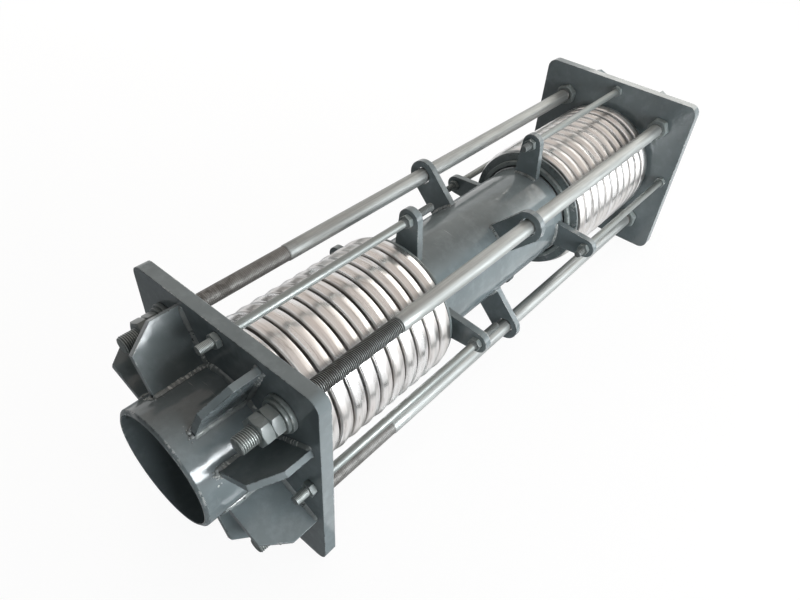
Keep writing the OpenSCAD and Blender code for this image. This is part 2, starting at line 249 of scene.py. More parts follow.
def hex_nut(span: Pair, flats: float, bore: float, corner: float, centre: Pair) -> Surface:
    """A hexagon nut with its corners chamfered at 30 degrees, on an axis along X.

    The side's radius is (flats / 2) / cos(d), with d the angle from the middle of the nearest
    flat. The chamfer drops by tan 30 degrees for each step past the face's own circle, which gives
    the round arcs on the six flats.

    Args:
        span: The faces towards -X and +X.
        flats: Size across the flats.
        bore: Radius of its hole.
        corner: Angle of one corner, in radians.
        centre: The axis' (y, z).

    Returns:
        The points and the quads.
    """
    columns = 96
    sixth, twelfth = math.pi / 3, math.pi / 6
    face_share = 0.965
    blunt = 0.12
    proud, proud_in = 0.1, 0.35
    lead = 0.9
    x_start, x_end = span
    turn = np.arange(columns) * TAU / columns
    from_flat = (turn + twelfth) % sixth - twelfth
    sharp = flats / 2 / np.cos(from_flat)
    side = np.minimum(sharp, flats / 2 / math.cos(twelfth) - blunt)
    face = flats / 2 * face_share
    drop = np.maximum(side - face, 0.0) * math.tan(math.radians(30.0))
    flat_row = np.ones(columns)
    rows = [
        (x_start + lead * flat_row, bore * flat_row),
        (x_start * flat_row, (bore + lead) * flat_row),
        (x_start * flat_row, face * flat_row),
        (x_start + drop, side),
        (x_start + drop + proud_in, side + proud),
        (x_end - drop - proud_in, side + proud),
        (x_end - drop, side),
        (x_end * flat_row, face * flat_row),
        (x_end * flat_row, (bore + lead) * flat_row),
        (x_end - lead * flat_row, bore * flat_row),
    ]
    x = np.stack([row[0] for row in rows])
    radius = np.stack([row[1] for row in rows])
    points = polar_points(x, radius, turn + corner + twelfth, centre)
    return points, grid_quads(len(rows), columns, True, True)


def weld_bead(
    path: np.ndarray, leg_a: np.ndarray, leg_b: np.ndarray, size: float, ripple: float, seed: int
) -> Surface:
    """A fillet weld along the corner where two surfaces meet.

    Across the bead a point is corner + w ((1 - t) a + t b) + bulge sin(pi t) (a + b) / |a + b|,
    where a and b lie along the two surfaces. The width w swells and falls once for each ripple,
    drifts with two slow waves, and closes at both ends by a quarter ellipse.

    Args:
        path: Points along the corner.
        leg_a: Unit directions along the first surface.
        leg_b: Unit directions along the second surface.
        size: Length of a leg.
        ripple: Distance from ripple to ripple.
        seed: Sets the phases of the slow waves.

    Returns:
        The points and the quads of a closed bead.
    """
    ripple_swell = 0.13
    slow_swell, slow_wave = 0.09, 41.0
    quick_swell, quick_wave = 0.06, 17.0
    closing_legs = 1.4
    bulge, sunk = 0.2, 0.12
    points_across = 6
    step = np.linalg.norm(np.diff(path, axis=0), axis=1)
    along = np.concatenate([[0.0], np.cumsum(step)])
    total = along[-1]
    phase = np.random.default_rng(seed).uniform(0.0, TAU, 4)
    swell = 1.0 + ripple_swell * np.abs(np.sin(math.pi * along / ripple + phase[0]))
    swell += (
        slow_swell * np.sin(TAU * along / slow_wave + phase[1])
        + quick_swell * np.sin(TAU * along / quick_wave + phase[2])
    )
    edge = np.minimum(np.minimum(along, total - along) / (closing_legs * size), 1.0)
    closing = np.sqrt(np.clip(1.0 - (1.0 - edge) ** 2, 0.0, 1.0))
    width = (size * swell * closing)[:, None, None]
    t = np.linspace(0.0, 1.0, points_across)[None, :, None]
    a, b = leg_a[:, None, :], leg_b[:, None, :]
    out = (a + b) / np.linalg.norm(a + b, axis=-1, keepdims=True)
    arc = width * ((1.0 - t) * a + t * b + bulge * np.sin(math.pi * t) * out)
    under = -sunk * width * (a + b)
    rings = np.concatenate([arc, under], axis=1) + path[:, None, :]
    rows, columns = rings.shape[:2]
    return rings.reshape(-1, 3), grid_quads(rows, columns, False, True)


def droplets(
    spots: np.ndarray, normals: np.ndarray, radii: np.ndarray, rows: int = 5, sides: int = 7
) -> Surface:
    """Small lumps of weld metal, each a low closed dome of rings about the surface's normal.

    A ring at latitude u, from -90 to 90 degrees, has radius r cos u and height 0.7 r sin u.

    Args:
        spots: Where each lump sits.
        normals: The surface's unit normal there.
        radii: Each lump's radius.
        rows: Rings from pole to pole.
        sides: Points of a ring.

    Returns:
        The points and the quads of all lumps.
    """
    height_share = 0.7
    near_x = 0.8
    latitude = np.radians(np.linspace(-90.0, 90.0, rows))
    around = np.arange(sides) * TAU / sides
    helper = np.where(np.abs(normals[:, :1]) < near_x, [[1.0, 0.0, 0.0]], [[0.0, 1.0, 0.0]])
    first = np.cross(normals, helper)
    first /= np.linalg.norm(first, axis=1, keepdims=True)
    second = np.cross(normals, first)
    ring = np.cos(latitude)[:, None]
    flat_1, flat_2 = ring * np.cos(around), ring * np.sin(around)
    rise = height_share * np.sin(latitude)[:, None] * np.ones(sides)
    dome = (
        flat_1[None, :, :, None] * first[:, None, None, :]
        + flat_2[None, :, :, None] * second[:, None, None, :]
        + rise[None, :, :, None] * normals[:, None, None, :]
    )
    points = spots[:, None, None, :] + radii[:, None, None, None] * dome
    one = grid_quads(rows, sides, False, True)
    quads = (one[None] + rows * sides * np.arange(len(spots))[:, None, None]).reshape(-1, 4)
    return points.reshape(-1, 3), quads


def pipe_spots(
    radius: float, turn: np.ndarray, x: np.ndarray
) -> tuple[np.ndarray, np.ndarray]:
    """Points (x, r cos a, r sin a) on a pipe about the axis, and the normals (0, cos a, sin a).

    Args:
        radius: The pipe's radius.
        turn: The points' angles.
        x: Their places along the pipe.

    Returns:
        The points and the unit normals there.
    """
    normals = away(turn)
    return radius * normals + on_axis(x), normals


@dataclass
class Shell:
    """Gathers the surfaces of one piece, in millimetres, and makes them one mesh."""

    name: str
    points: list[np.ndarray] = field(default_factory=list)
    quads: list[np.ndarray] = field(default_factory=list)
    marks: list[np.ndarray] = field(default_factory=list)
    count: int = 0

    def add(self, points: np.ndarray, quads: np.ndarray, mark: float | np.ndarray = 0.0) -> Shell:
        """Adds one surface.

        Args:
            points: Its points.
            quads: Its quads, numbered from 0.
            mark: The piece's own mark at its points, which a finish may read.

        Returns:
            This shell.
        """
        self.points.append(points)
        self.quads.append(quads + self.count)
        self.marks.append(np.zeros(len(points)) + mark)
        self.count += len(points)
        return self

    def make(self, finish: bpy.types.Material, sharp: float = 35.0) -> bpy.types.Object:
        """Makes the mesh, merges what coincides, and points every face outwards.

        Args:
            finish: The piece's material.
            sharp: Edges that turn by more than this many degrees stay crisp.

        Returns:
            The new object, at the origin.
        """
        mesh = bpy.data.meshes.new(self.name)
        faces = np.concatenate(self.quads).tolist()
        mesh.from_pydata((np.concatenate(self.points) * MM).tolist(), [], faces)
        mesh.attributes.new("mark", "FLOAT", "POINT").data.foreach_set(
            "value", np.concatenate(self.marks).astype(np.float32)
        )
        work = bmesh.new()
        work.from_mesh(mesh)
        bmesh.ops.remove_doubles(work, verts=work.verts, dist=MERGE)
        bmesh.ops.recalc_face_normals(work, faces=work.faces)
        work.to_mesh(mesh)
        work.free()
        mesh.shade_smooth()
        mesh.set_sharp_from_angle(angle=math.radians(sharp))
        mesh.materials.append(finish)
        piece = bpy.data.objects.new(self.name, mesh)
        bpy.context.scene.collection.objects.link(piece)
        LOG.info("%s: %d faces", self.name, len(mesh.polygons))
        return piece


# Finishes


@dataclass(frozen=True)
class Grain:
    """A soft noise of about 0 to 1.

    The scale is in features per metre. A stretch multiplies the coordinates along each axis first:
    a large number presses the pattern together there and a small one draws it out.
    """

    scale: float = 1.0
    octaves: float = 3.0
    rough: float = 0.5
    warp: float = 0.0
    stretch: Triple | None = None


@dataclass(frozen=True)
class Ramp:
    """A range of values and the range it is turned into, held at its ends."""

    low: float
    high: float
    to_low: float = 0.0
    to_high: float = 1.0


class NodeSheet:
    """Lays out the nodes of one procedural material round a Principled shader."""

    def __init__(self, name: str) -> None:
        """Starts an empty material with its shader, output and Object coordinates.

        Args:
            name: The material's name.
        """
        self.material = bpy.data.materials.new(name)
        self.material.use_nodes = True
        self.tree = self.material.node_tree
        self.tree.nodes.clear()
        self.shader = self.node("ShaderNodeBsdfPrincipled")
        output = self.node("ShaderNodeOutputMaterial")
        self.link(self.shader.outputs["BSDF"], output.inputs["Surface"])
        self.place = self.node("ShaderNodeTexCoord").outputs["Object"]

    def node(self, kind: str, **settings: object) -> bpy.types.Node:
        """Adds a node.

        Args:
            kind: The node's type.
            **settings: Its plain settings, by name.

        Returns:
            The new node.
        """
        made = self.tree.nodes.new(kind)
        for key, value in settings.items():
            setattr(made, key, value)
        return made

    def link(self, source: bpy.types.NodeSocket, target: bpy.types.NodeSocket) -> None:
        """Joins two sockets."""
        self.tree.links.new(source, target)

    def feed(self, target: bpy.types.NodeSocket, value: object) -> None:
        """Links a socket to another, or sets its number or colour.

        Args:
            target: The socket to feed.
            value: Another socket, a number, or a colour.
        """
        if isinstance(value, bpy.types.NodeSocket):
            self.link(value, target)
        elif isinstance(value, tuple) and len(value) == 3 and target.type == "RGBA":
            target.default_value = (*value, 1.0)
        else:
            target.default_value = value

    def noise(self, grain: Grain) -> bpy.types.NodeSocket:
        """A noise on Object coordinates.

        Args:
            grain: Its scale, octaves and stretch.

        Returns:
            The noise's factor socket.
        """
        where = self.place
        if grain.stretch:
            mapping = self.node("ShaderNodeMapping")
            self.link(where, mapping.inputs["Vector"])
            mapping.inputs["Scale"].default_value = grain.stretch
            where = mapping.outputs["Vector"]
        made = self.node("ShaderNodeTexNoise")
        self.link(where, made.inputs["Vector"])
        made.inputs["Scale"].default_value = grain.scale
        made.inputs["Detail"].default_value = grain.octaves
        made.inputs["Roughness"].default_value = grain.rough
        made.inputs["Distortion"].default_value = grain.warp
        return made.outputs["Fac"]

    def span(self, value: bpy.types.NodeSocket, ramp: Ramp) -> bpy.types.NodeSocket:
        """Maps a value from one range to another.

        Args:
            value: The value's socket.
            ramp: The two ranges.

        Returns:
            The result's socket.
        """
        made = self.node("ShaderNodeMapRange")
        self.link(value, made.inputs["Value"])
        made.inputs["From Min"].default_value = ramp.low
        made.inputs["From Max"].default_value = ramp.high
        made.inputs["To Min"].default_value = ramp.to_low
        made.inputs["To Max"].default_value = ramp.to_high
        return made.outputs["Result"]

    def spread(self, grain: Grain, ramp: Ramp) -> bpy.types.NodeSocket:
        """A noise whose values are mapped by a ramp."""
        return self.span(self.noise(grain), ramp)

    def combine(self, kind: str, first: object, second: object = 0.0) -> bpy.types.NodeSocket:
        """Works one or two values out by a Math node.

        Args:
            kind: The operation, such as ADD.
            first: The first value.
            second: The second value, which some operations don't read.

        Returns:
            The result's socket.
        """
        made = self.node("ShaderNodeMath", operation=kind)
        self.feed(made.inputs[0], first)
        self.feed(made.inputs[1], second)
        return made.outputs[0]

    def mix(self, share: object, first: object, second: object) -> bpy.types.NodeSocket:
        """Mixes two colours.

        Args:
            share: How much of the second colour there is, from 0 to 1.
            first: The first colour.
            second: The second colour.

        Returns:
            The mixed colour's socket.
        """
        made = self.node("ShaderNodeMix", data_type="RGBA")
        self.feed(made.inputs["Factor"], share)
        colours = [socket for socket in made.inputs if socket.type == "RGBA"]
        self.feed(colours[0], first)
        self.feed(colours[1], second)
        return next(socket for socket in made.outputs if socket.type == "RGBA")

    def bump(
        self, grain: Grain, strength: float, distance: float,
        base: bpy.types.NodeSocket | None = None,
    ) -> bpy.types.NodeSocket:
        """A normal bumped by a noise.

        Args:
            grain: The noise that gives the height.
            strength: How much of the bump shows.
            distance: Height of the bump, in metres.
            base: The normal it goes over, or None for the surface's own.

        Returns:
            The bumped normal's socket.
        """
        made = self.node("ShaderNodeBump")
        made.inputs["Strength"].default_value = strength
        made.inputs["Distance"].default_value = distance
        self.link(self.noise(grain), made.inputs["Height"])
        if base is not None:
            self.link(base, made.inputs["Normal"])
        return made.outputs["Normal"]

    def soft_edges(self, radius: float) -> tuple[bpy.types.NodeSocket, bpy.types.NodeSocket]:
        """Rounds edges in the shading, and marks them.

        The mark is 1 minus the dot product of the rounded normal and the true one, so it grows
        where an edge is near.

        Args:
            radius: How far from an edge the rounding reaches, in metres.

        Returns:
            The rounded normal and the mark.
        """
        bevel = self.node("ShaderNodeBevel", samples=4)
        bevel.inputs["Radius"].default_value = radius
        true_normal = self.node("ShaderNodeNewGeometry").outputs["True Normal"]
        dot = self.node("ShaderNodeVectorMath", operation="DOT_PRODUCT")
        self.link(bevel.outputs["Normal"], dot.inputs[0])
        self.link(true_normal, dot.inputs[1])
        return bevel.outputs["Normal"], self.combine("SUBTRACT", 1.0, dot.outputs["Value"])

    def crease(self, reach: float) -> bpy.types.NodeSocket:
        """How deep a point lies in a narrow corner: 0 in the open and 1 in the corner.

        Args:
            reach: How far away the corner's other side may be, in metres.

        Returns:
            The socket of 1 minus the open share.
        """
        occlusion = self.node("ShaderNodeAmbientOcclusion", samples=6)
        occlusion.inputs["Distance"].default_value = reach
        return self.combine("SUBTRACT", 1.0, occlusion.outputs["AO"])

    def done(
        self, colour: object, roughness: object, normal: object, metallic: float, **more: float
    ) -> bpy.types.Material:
        """Feeds the shader and returns the material.

        Args:
            colour: Base colour.
            roughness: Roughness.
            normal: Normal.
            metallic: Metallic, the same all over.
            **more: Other plain numbers by their socket's name, with _ for a space.

        Returns:
            The finished material.
        """
        self.feed(self.shader.inputs["Base Color"], colour)
        self.feed(self.shader.inputs["Roughness"], roughness)
        self.feed(self.shader.inputs["Normal"], normal)
        self.shader.inputs["Metallic"].default_value = metallic
        for key, number in more.items():
            self.shader.inputs[key.replace("_", " ")].default_value = number
        return self.material


@dataclass(frozen=True)
class MachinePaint:
    """Glossy grey-green enamel sprayed over steel, with softened edges and a slightly wavy film."""

    name: str = "grey_enamel"
    base: Colour = (0.20, 0.234, 0.243)
    pale: Colour = (0.42, 0.465, 0.475)
    deep: Colour = (0.150, 0.178, 0.186)
    scratch: Colour = (0.55, 0.57, 0.56)
    chip: Colour = (0.78, 0.79, 0.76)
    # Dark scale in chipped spots, and also the colour of the painted shade laid into corners and
    # creases.
    grime: Colour = (0.030, 0.033, 0.032)
    gloss: float = 0.12
    edge: float = 0.0024
    wave: float = 0.28
    shine: float = 0.5
    # Reach of the ambient occlusion that paints shade into corners and creases.
    corner: float = 0.007
    clouds: Grain = Grain(7.0, 4.0, 0.55, warp=0.4)
    dust: Grain = Grain(38.0, 5.0, 0.62)
    thin_film: Grain = Grain(95.0, 3.0, 0.6)
    scratches: Grain = Grain(1.0, 2.0, 0.4, warp=0.3, stretch=(420.0, 22.0, 22.0))
    scratched: Grain = Grain(11.0, 2.0)
    chips: Grain = Grain(130.0, 3.0, 0.7)
    chipped: Grain = Grain(13.0, 2.0)
    dull: Grain = Grain(16.0, 3.0, 0.6)
    slow_wave: Grain = Grain(24.0, 2.0, 0.45)
    orange_peel: Grain = Grain(420.0, 2.0)

    def make(self) -> bpy.types.Material:
        """Builds the material.

        Colour drifts between three tones over a few centimetres, edges are paler where the film is
        thin and here and there chipped to bright metal or dark scale, fine scratches run across
        the pipe's direction, corners and creases are darkened by painted shade from ambient
        occlusion, roughness is higher on dusty patches, and the bump is a slow wave under a fine
        orange peel.

        Returns:
            The material.
        """
        sheet = NodeSheet(self.name)
        tone = sheet.mix(sheet.spread(self.clouds, Ramp(0.35, 0.7)), self.deep, self.base)
        tone = sheet.mix(sheet.spread(self.dust, Ramp(0.48, 0.78, 0.0, 0.22)), tone, self.pale)
        normal, mark = sheet.soft_edges(self.edge)
        worn = sheet.spread(self.thin_film, Ramp(0.3, 0.62, 0.35, 1.0))
        rim = sheet.combine("MULTIPLY", sheet.span(mark, Ramp(0.02, 0.28, 0.0, 0.6)), worn)
        tone = sheet.mix(rim, tone, self.pale)
        line = sheet.spread(self.scratches, Ramp(0.72, 0.82, 0.0, 0.7))
        scored = sheet.combine("MULTIPLY", line, sheet.spread(self.scratched, Ramp(0.55, 0.66)))
        tone = sheet.mix(scored, tone, self.scratch)
        chip = sheet.spread(self.chips, Ramp(0.50, 0.54))
        chip = sheet.combine("MULTIPLY", chip, sheet.span(mark, Ramp(0.004, 0.03)))
        spot = sheet.noise(self.chipped)
        bright = sheet.combine("MULTIPLY", chip, sheet.span(spot, Ramp(0.54, 0.58, 0.0, 0.9)))
        tone = sheet.mix(bright, tone, self.chip)
        dark = sheet.combine("MULTIPLY", chip, sheet.span(spot, Ramp(0.42, 0.46, 0.85, 0.0)))
        tone = sheet.mix(dark, tone, self.grime)
        # Painted shade: ambient occlusion darkens corners, creases and joints towards the dark
        # colour.
        corner_shade = sheet.span(sheet.crease(self.corner), Ramp(0.35, 0.95, 0.0, 0.8))
        tone = sheet.mix(corner_shade, tone, self.grime)
        rough = sheet.spread(self.dull, Ramp(0.3, 0.75, self.gloss - 0.05, self.gloss + 0.08))
        normal = sheet.bump(self.slow_wave, strength=self.wave, distance=0.004, base=normal)
        normal = sheet.bump(self.orange_peel, strength=0.08, distance=0.0006, base=normal)
        return sheet.done(tone, rough, normal, metallic=0.0, Specular_IOR_Level=self.shine)


@dataclass(frozen=True)
class RodSteel:
    """Drawn bar with soft streaks, a little brown film, oil and painted shade in thread roots, and
    a painted highlight on crests.
    """

    name: str = "drawn_rod_steel"
    bright: Colour = (0.47, 0.49, 0.48)
    dull: Colour = (0.27, 0.28, 0.275)
    film: Colour = (0.09, 0.087, 0.083)
    # Thread roots: dark oil together with painted shade. Crests: a lighter colour that is a painted
    # highlight.
    oiled: Colour = (0.034, 0.036, 0.035)
    crest: Colour = (0.35, 0.365, 0.36)
    # One paint outside the plates: lighter on thread crests as a painted highlight, darker in the
    # roots as painted shade.
    painted: Colour = (0.52, 0.555, 0.54)
    filled: Colour = (0.17, 0.185, 0.18)
    film_from: float = -0.34
    film_to: float = -0.62
    plate: float = 0.647
    metallic: float = 0.6
    streaks: Grain = Grain(1.0, 5.0, 0.62, stretch=(5.0, 150.0, 150.0))
    broad: Grain = Grain(1.0, 3.0, 0.5, warp=0.5, stretch=(9.0, 30.0, 30.0))
    blots: Grain = Grain(46.0, 5.0, 0.7, warp=0.4)

    def make(self) -> bpy.types.Material:
        """Builds the material, with paint over it outside the plates.

        The piece's mark is 0 on bare bar, 1 in thread roots and 2 on crests. The film grows from 0
        to 1 between two places along X, and paint covers what lies farther out than the plate.

        Returns:
            The material.
        """
        sheet = NodeSheet(self.name)
        broad = sheet.noise(self.broad)
        bar = sheet.mix(sheet.spread(self.streaks, Ramp(0.32, 0.68)), self.dull, self.bright)
        bar = sheet.mix(sheet.span(broad, Ramp(0.45, 0.75, 0.0, 0.5)), bar, self.dull)
        mark = sheet.node("ShaderNodeAttribute", attribute_name="mark").outputs["Fac"]
        # Thread colour: oil and painted shade in the roots, a painted highlight on the crests.
        thread = sheet.mix(sheet.span(mark, Ramp(1.5, 2.0)), self.oiled, self.crest)
        is_thread = sheet.span(mark, Ramp(0.4, 0.9))
        colour = sheet.mix(is_thread, bar, thread)
        split = sheet.node("ShaderNodeSeparateXYZ")
        sheet.link(sheet.place, split.inputs[0])
        x = split.outputs["X"]
        near = sheet.span(x, Ramp(self.film_to, self.film_from, 1.0, 0.0))
        blot = sheet.spread(self.blots, Ramp(0.44, 0.58, 0.05, 0.92))
        colour = sheet.mix(sheet.combine("MULTIPLY", near, blot), colour, self.film)
        reach = sheet.combine("ABSOLUTE", x)
        outside = sheet.span(reach, Ramp(self.plate, self.plate + 0.002, 0.0, 0.85))
        # The same paint with painted shade in the thread roots and a painted highlight on the
        # crests.
        paint = sheet.mix(sheet.span(mark, Ramp(1.2, 2.0)), self.filled, self.painted)
        colour = sheet.mix(outside, colour, paint)
        rough = sheet.combine(
            "ADD",
            sheet.span(broad, Ramp(0.3, 0.7, 0.40, 0.52)),
            sheet.span(is_thread, Ramp(0.0, 1.0, 0.0, 0.06)),
        )
        normal = sheet.bump(self.streaks, strength=0.22, distance=0.0004)
        return sheet.done(colour, rough, normal, self.metallic)


@dataclass(frozen=True)
class BellowsSteel:
    """Bright stainless sheet rolled round the hoop, with hoop lines, smudges and a warm film."""

    name: str = "stainless_sheet"
    clean: Colour = (0.80, 0.80, 0.80)
    warm: Colour = (0.72, 0.685, 0.66)
    grey: Colour = (0.54, 0.54, 0.535)
    smudge: Colour = (0.30, 0.27, 0.245)
    polish: Colour = (0.86, 0.86, 0.85)
    hoop_lines: Grain = Grain(1.0, 3.0, 0.55, stretch=(150.0, 6.0, 6.0))
    clouds: Grain = Grain(1.0, 4.0, 0.55, warp=0.6, stretch=(34.0, 9.0, 9.0))
    smudges: Grain = Grain(1.0, 5.0, 0.66, warp=0.5, stretch=(110.0, 11.0, 11.0))
    rolled: Grain = Grain(1.0, 1.0, 0.4, stretch=(80.0, 5.0, 5.0))
    dented: Grain = Grain(1.0, 2.0, 0.5, stretch=(20.0, 14.0, 14.0))

    def make(self) -> bpy.types.Material:
        """Builds the material. Its lines run round the hoop, since patterns are pressed along X.

        Returns:
            The material.
        """
        sheet = NodeSheet(self.name)
        cloud, smudge = sheet.noise(self.clouds), sheet.noise(self.smudges)
        tone = sheet.mix(sheet.span(cloud, Ramp(0.35, 0.68)), self.clean, self.warm)
        tone = sheet.mix(
            sheet.spread(self.hoop_lines, Ramp(0.45, 0.75, 0.0, 0.55)), tone, self.grey
        )
        tone = sheet.mix(sheet.span(smudge, Ramp(0.53, 0.68, 0.0, 0.6)), tone, self.smudge)
        tone = sheet.mix(sheet.span(smudge, Ramp(0.30, 0.42, 0.5, 0.0)), tone, self.polish)
        rough = sheet.combine(
            "ADD",
            sheet.span(cloud, Ramp(0.3, 0.7, 0.24, 0.34)),
            sheet.span(smudge, Ramp(0.5, 0.7, 0.0, 0.08)),
        )
        normal = sheet.bump(self.rolled, strength=0.08, distance=0.0006)
        normal = sheet.bump(self.dented, strength=0.25, distance=0.0016, base=normal)
        return sheet.done(tone, rough, normal, metallic=1.0)


@dataclass
class Finishes:
    """One of each finish, made once."""

    paint: bpy.types.Material
    pale_paint: bpy.types.Material
    weld_paint: bpy.types.Material
    ring_paint: bpy.types.Material
    oiled_rod: bpy.types.Material
    rod: bpy.types.Material
    limit_rod: bpy.types.Material
    bellows: bpy.types.Material

    @classmethod
    def mixed(cls) -> Finishes:
        """Makes every material of the joint.

        Returns:
            The set of finishes.
        """
        return cls(
            paint=MachinePaint().make(),
            pale_paint=MachinePaint(
                name="grey_enamel_thick",
                base=(0.24, 0.27, 0.265),
                pale=(0.46, 0.495, 0.49),
                deep=(0.17, 0.193, 0.19),
                gloss=0.3,
                edge=0.0012,
                shine=0.4,
            ).make(),
            weld_paint=MachinePaint(
                name="grey_enamel_weld",
                base=(0.34, 0.36, 0.35),
                deep=(0.20, 0.22, 0.22),
                gloss=0.16,
                edge=0.0006,
                wave=0.9,
            ).make(),
            # A darker copy of the enamel for the end rings: painted shade for the faces that turn
            # away from the light.
            ring_paint=MachinePaint(
                name="grey_enamel_ring",
                base=(0.17, 0.197, 0.20),
                deep=(0.125, 0.147, 0.15),
                gloss=0.2,
                edge=0.0007,
                shine=0.4,
            ).make(),
            oiled_rod=RodSteel(name="oiled_rod_steel").make(),
            rod=RodSteel(
                name="rod_steel",
                film=(0.055, 0.05, 0.045),
                oiled=(0.16, 0.157, 0.15),
                crest=(0.235, 0.23, 0.22),
            ).make(),
            limit_rod=RodSteel(
                name="limit_rod_steel",
                bright=(0.31, 0.33, 0.32),
                dull=(0.22, 0.236, 0.23),
                oiled=(0.16, 0.17, 0.168),
                crest=(0.34, 0.36, 0.355),
                film_from=-0.9,
                film_to=-1.2,
            ).make(),
            bellows=BellowsSteel().make(),
        )


def dress_nodes(frame: dict, names: list[str], finish: bpy.types.Material) -> None:
    """Gives the frame's own solids of these names a finish.

    Args:
        frame: The loaded frame.
        names: The nodes' names.
        finish: Their material.
    """
    for name in names:
        frame["nodes"][name].material_slots[0].material = finish
        LOG.info("%s: dressed in %s", name, finish.name)


# The joint's sub-assemblies


@dataclass
class Pipework:
    """The two stub pipes and the centre spool pipe."""

    radius: float = 109.55
    bore: float = 101.55
    end: float = 782.0
    inner_end: float = 609.0
    bevel: float = 4.2
    land: float = 2.0
    spool_end: float = 246.0
    columns: int = 160
    crisp: float = 28.0

    def stub(self, side: End, paint: bpy.types.Material) -> bpy.types.Object:
        """A stub pipe with a weld bevel on its open end, turned from its wall's outline.

        Args:
            side: Which end of the joint it is on.
            paint: Its finish.

        Returns:
            The piece.
        """
        start, end, bore, radius = self.inner_end, self.end, self.bore, self.radius
        bevel_start = end - self.bevel
        round_off, nose, nose_drop = 0.8, 0.4, 0.5
        outline = np.array([
            [start, bore], [start, bore + 1.0],
            [start, radius - round_off], [start + round_off, radius],
            [bevel_start - 9.0, radius], [bevel_start - nose, radius],
            [bevel_start + nose, radius - nose_drop],
            [end - nose, bore + self.land + nose_drop], [end, bore + self.land],
            [end, bore + nose], [end - nose, bore], [end - 8.0, bore],
        ])
        outline[:, 0] *= side.value
        shell = Shell(f"{side.word}_stub_pipe").add(*revolve(outline, self.columns))
        piece = shell.make(paint, self.crisp)
        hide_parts(f"{side.word}_pipe")
        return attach(piece, side.body)

    def spool(self, paint: bpy.types.Material) -> bpy.types.Object:
        """The centre pipe between the two bellows, turned from its wall's outline.

        Args:
            paint: Its finish.

        Returns:
            The piece.
        """
        end, bore, radius, round_off = self.spool_end, self.bore, self.radius, 1.0
        outline = np.array([
            [-end, bore], [-end, radius - round_off], [-end + round_off, radius],
            [end - round_off, radius], [end, radius - round_off], [end, bore],
        ])
        piece = Shell("centre_spool").add(*revolve(outline, self.columns)).make(paint, self.crisp)
        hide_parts("spool_pipe")
        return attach(piece, "spool")


@dataclass
class Bellows:
    """One stainless bellows whose crests are two gentle slopes that meet in a ridge."""

    side: End
    start: float = 246.0
    count: int = 11
    pitch: float = 33.0
    gap: float = 4.6
    crest: float = 149.5
    slope: float = 10.0
    shoulder: float = 5.0
    ridge: float = 3.0
    root: float = 111.05
    wall: float = 1.2
    cuff_in: float = 229.0
    cuff_out: float = 619.0
    root_steps: int = 5
    shoulder_steps: int = 6
    ridge_steps: int = 3
    columns: int = 128
    crisp: float = 60.0
    broad_dent: float = 0.18
    small_dent: float = 0.12
    drawn_in: float = 0.35
    sway: float = 0.35
    stiff_height: float = 30.0

    @property
    def end(self) -> float:
        """Where the last convolution ends."""
        return self.start + self.count * self.pitch

    def outline(self, inset: float) -> np.ndarray:
        """The wall's outline as (x, radius), from the inner cuff to the outer one.

        Each convolution rises from a half-round root, turns over a shoulder arc, climbs to its
        ridge at the slope's angle, and goes down in the mirrored way.

        Args:
            inset: 0 for the outer side, and the wall's thickness for the inner side.

        Returns:
            Rows of x and radius.
        """
        tilt = math.radians(self.slope)
        up, level = math.pi / 2, math.pi
        half = self.pitch / 2
        turn_x = -half + self.gap / 2 + self.shoulder
        ridge_c = self.crest - self.ridge
        turn_c = (
            ridge_c - (self.shoulder - self.ridge) / math.cos(tilt) + turn_x * math.tan(tilt)
        )
        root_c = self.root + self.gap / 2
        root_turn = np.radians(np.linspace(270.0, 360.0, self.root_steps))
        shoulder_turn = np.linspace(level, up + tilt, self.shoulder_steps)
        ridge_turn = np.linspace(up + tilt, up, self.ridge_steps)
        parts = []
        for centre, radius, angles in (
            ((-half, root_c), self.gap / 2 + inset, root_turn),
            ((turn_x, turn_c), self.shoulder - inset, shoulder_turn),
            ((0.0, ridge_c), self.ridge - inset, ridge_turn),
        ):
            parts.append(np.stack([np.cos(angles), np.sin(angles)], axis=-1) * radius + centre)
        half_wave = np.concatenate(parts)
        wave = np.concatenate([half_wave, (half_wave * [-1.0, 1.0])[-2:0:-1]])
        middles = self.start + self.pitch * (np.arange(self.count) + 0.5)
        waves = np.concatenate([wave + [middle, 0.0] for middle in middles])
        foot = self.root - inset
        head = np.array([[self.cuff_in, foot], [self.start - self.gap, foot]])
        tail = np.array([[self.end, foot], [self.cuff_out, foot]])
        return np.concatenate([head, waves, tail])

    def make(self, steel: bpy.types.Material) -> bpy.types.Object:
        """Turns the closed wall about the axis and dents it a little, as rolled sheet is.

        With a the angle and w the number of the convolution, a point moves outwards by the broad
        dent times sin(3 a + 1.7 w), plus the small dent times sin(7 a - 2.3 w), less what all of
        it is drawn in by, and along X by the sway times sin(2 a + 2.9 w). All of this grows from
        nothing at the root to its full size above the stiff height.

        Args:
            steel: Its finish.

        Returns:
            The piece, with its placement baked into the mesh and attached to no body.
        """
        ring = np.concatenate([self.outline(0.0), self.outline(self.wall)[::-1]])
        points, quads = revolve(ring, self.columns)
        angle = np.arctan2(points[:, 2], points[:, 1])
        wave = np.floor((points[:, 0] - self.start) / self.pitch)
        phase = self.side.pick((1.0, 2.0))
        lift = (
            self.broad_dent * np.sin(3.0 * angle + 1.7 * wave + phase)
            + self.small_dent * np.sin(7.0 * angle - 2.3 * wave)
        )
        height = np.hypot(points[:, 1], points[:, 2]) - self.root
        free = np.clip(height / self.stiff_height, 0.0, 1.0)
        points[:, 1] += free * (lift - self.drawn_in) * np.cos(angle)
        points[:, 2] += free * (lift - self.drawn_in) * np.sin(angle)
        points[:, 0] += free * self.sway * np.sin(2.0 * angle + 2.9 * wave + phase)
        sign = self.side.value
        points[:, 0] *= sign
        shell = Shell(f"{self.side.word}_convolutions").add(points, quads)
        piece = shell.make(steel, self.crisp)
        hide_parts(f"{self.side.word}_bellows")
        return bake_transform(piece)


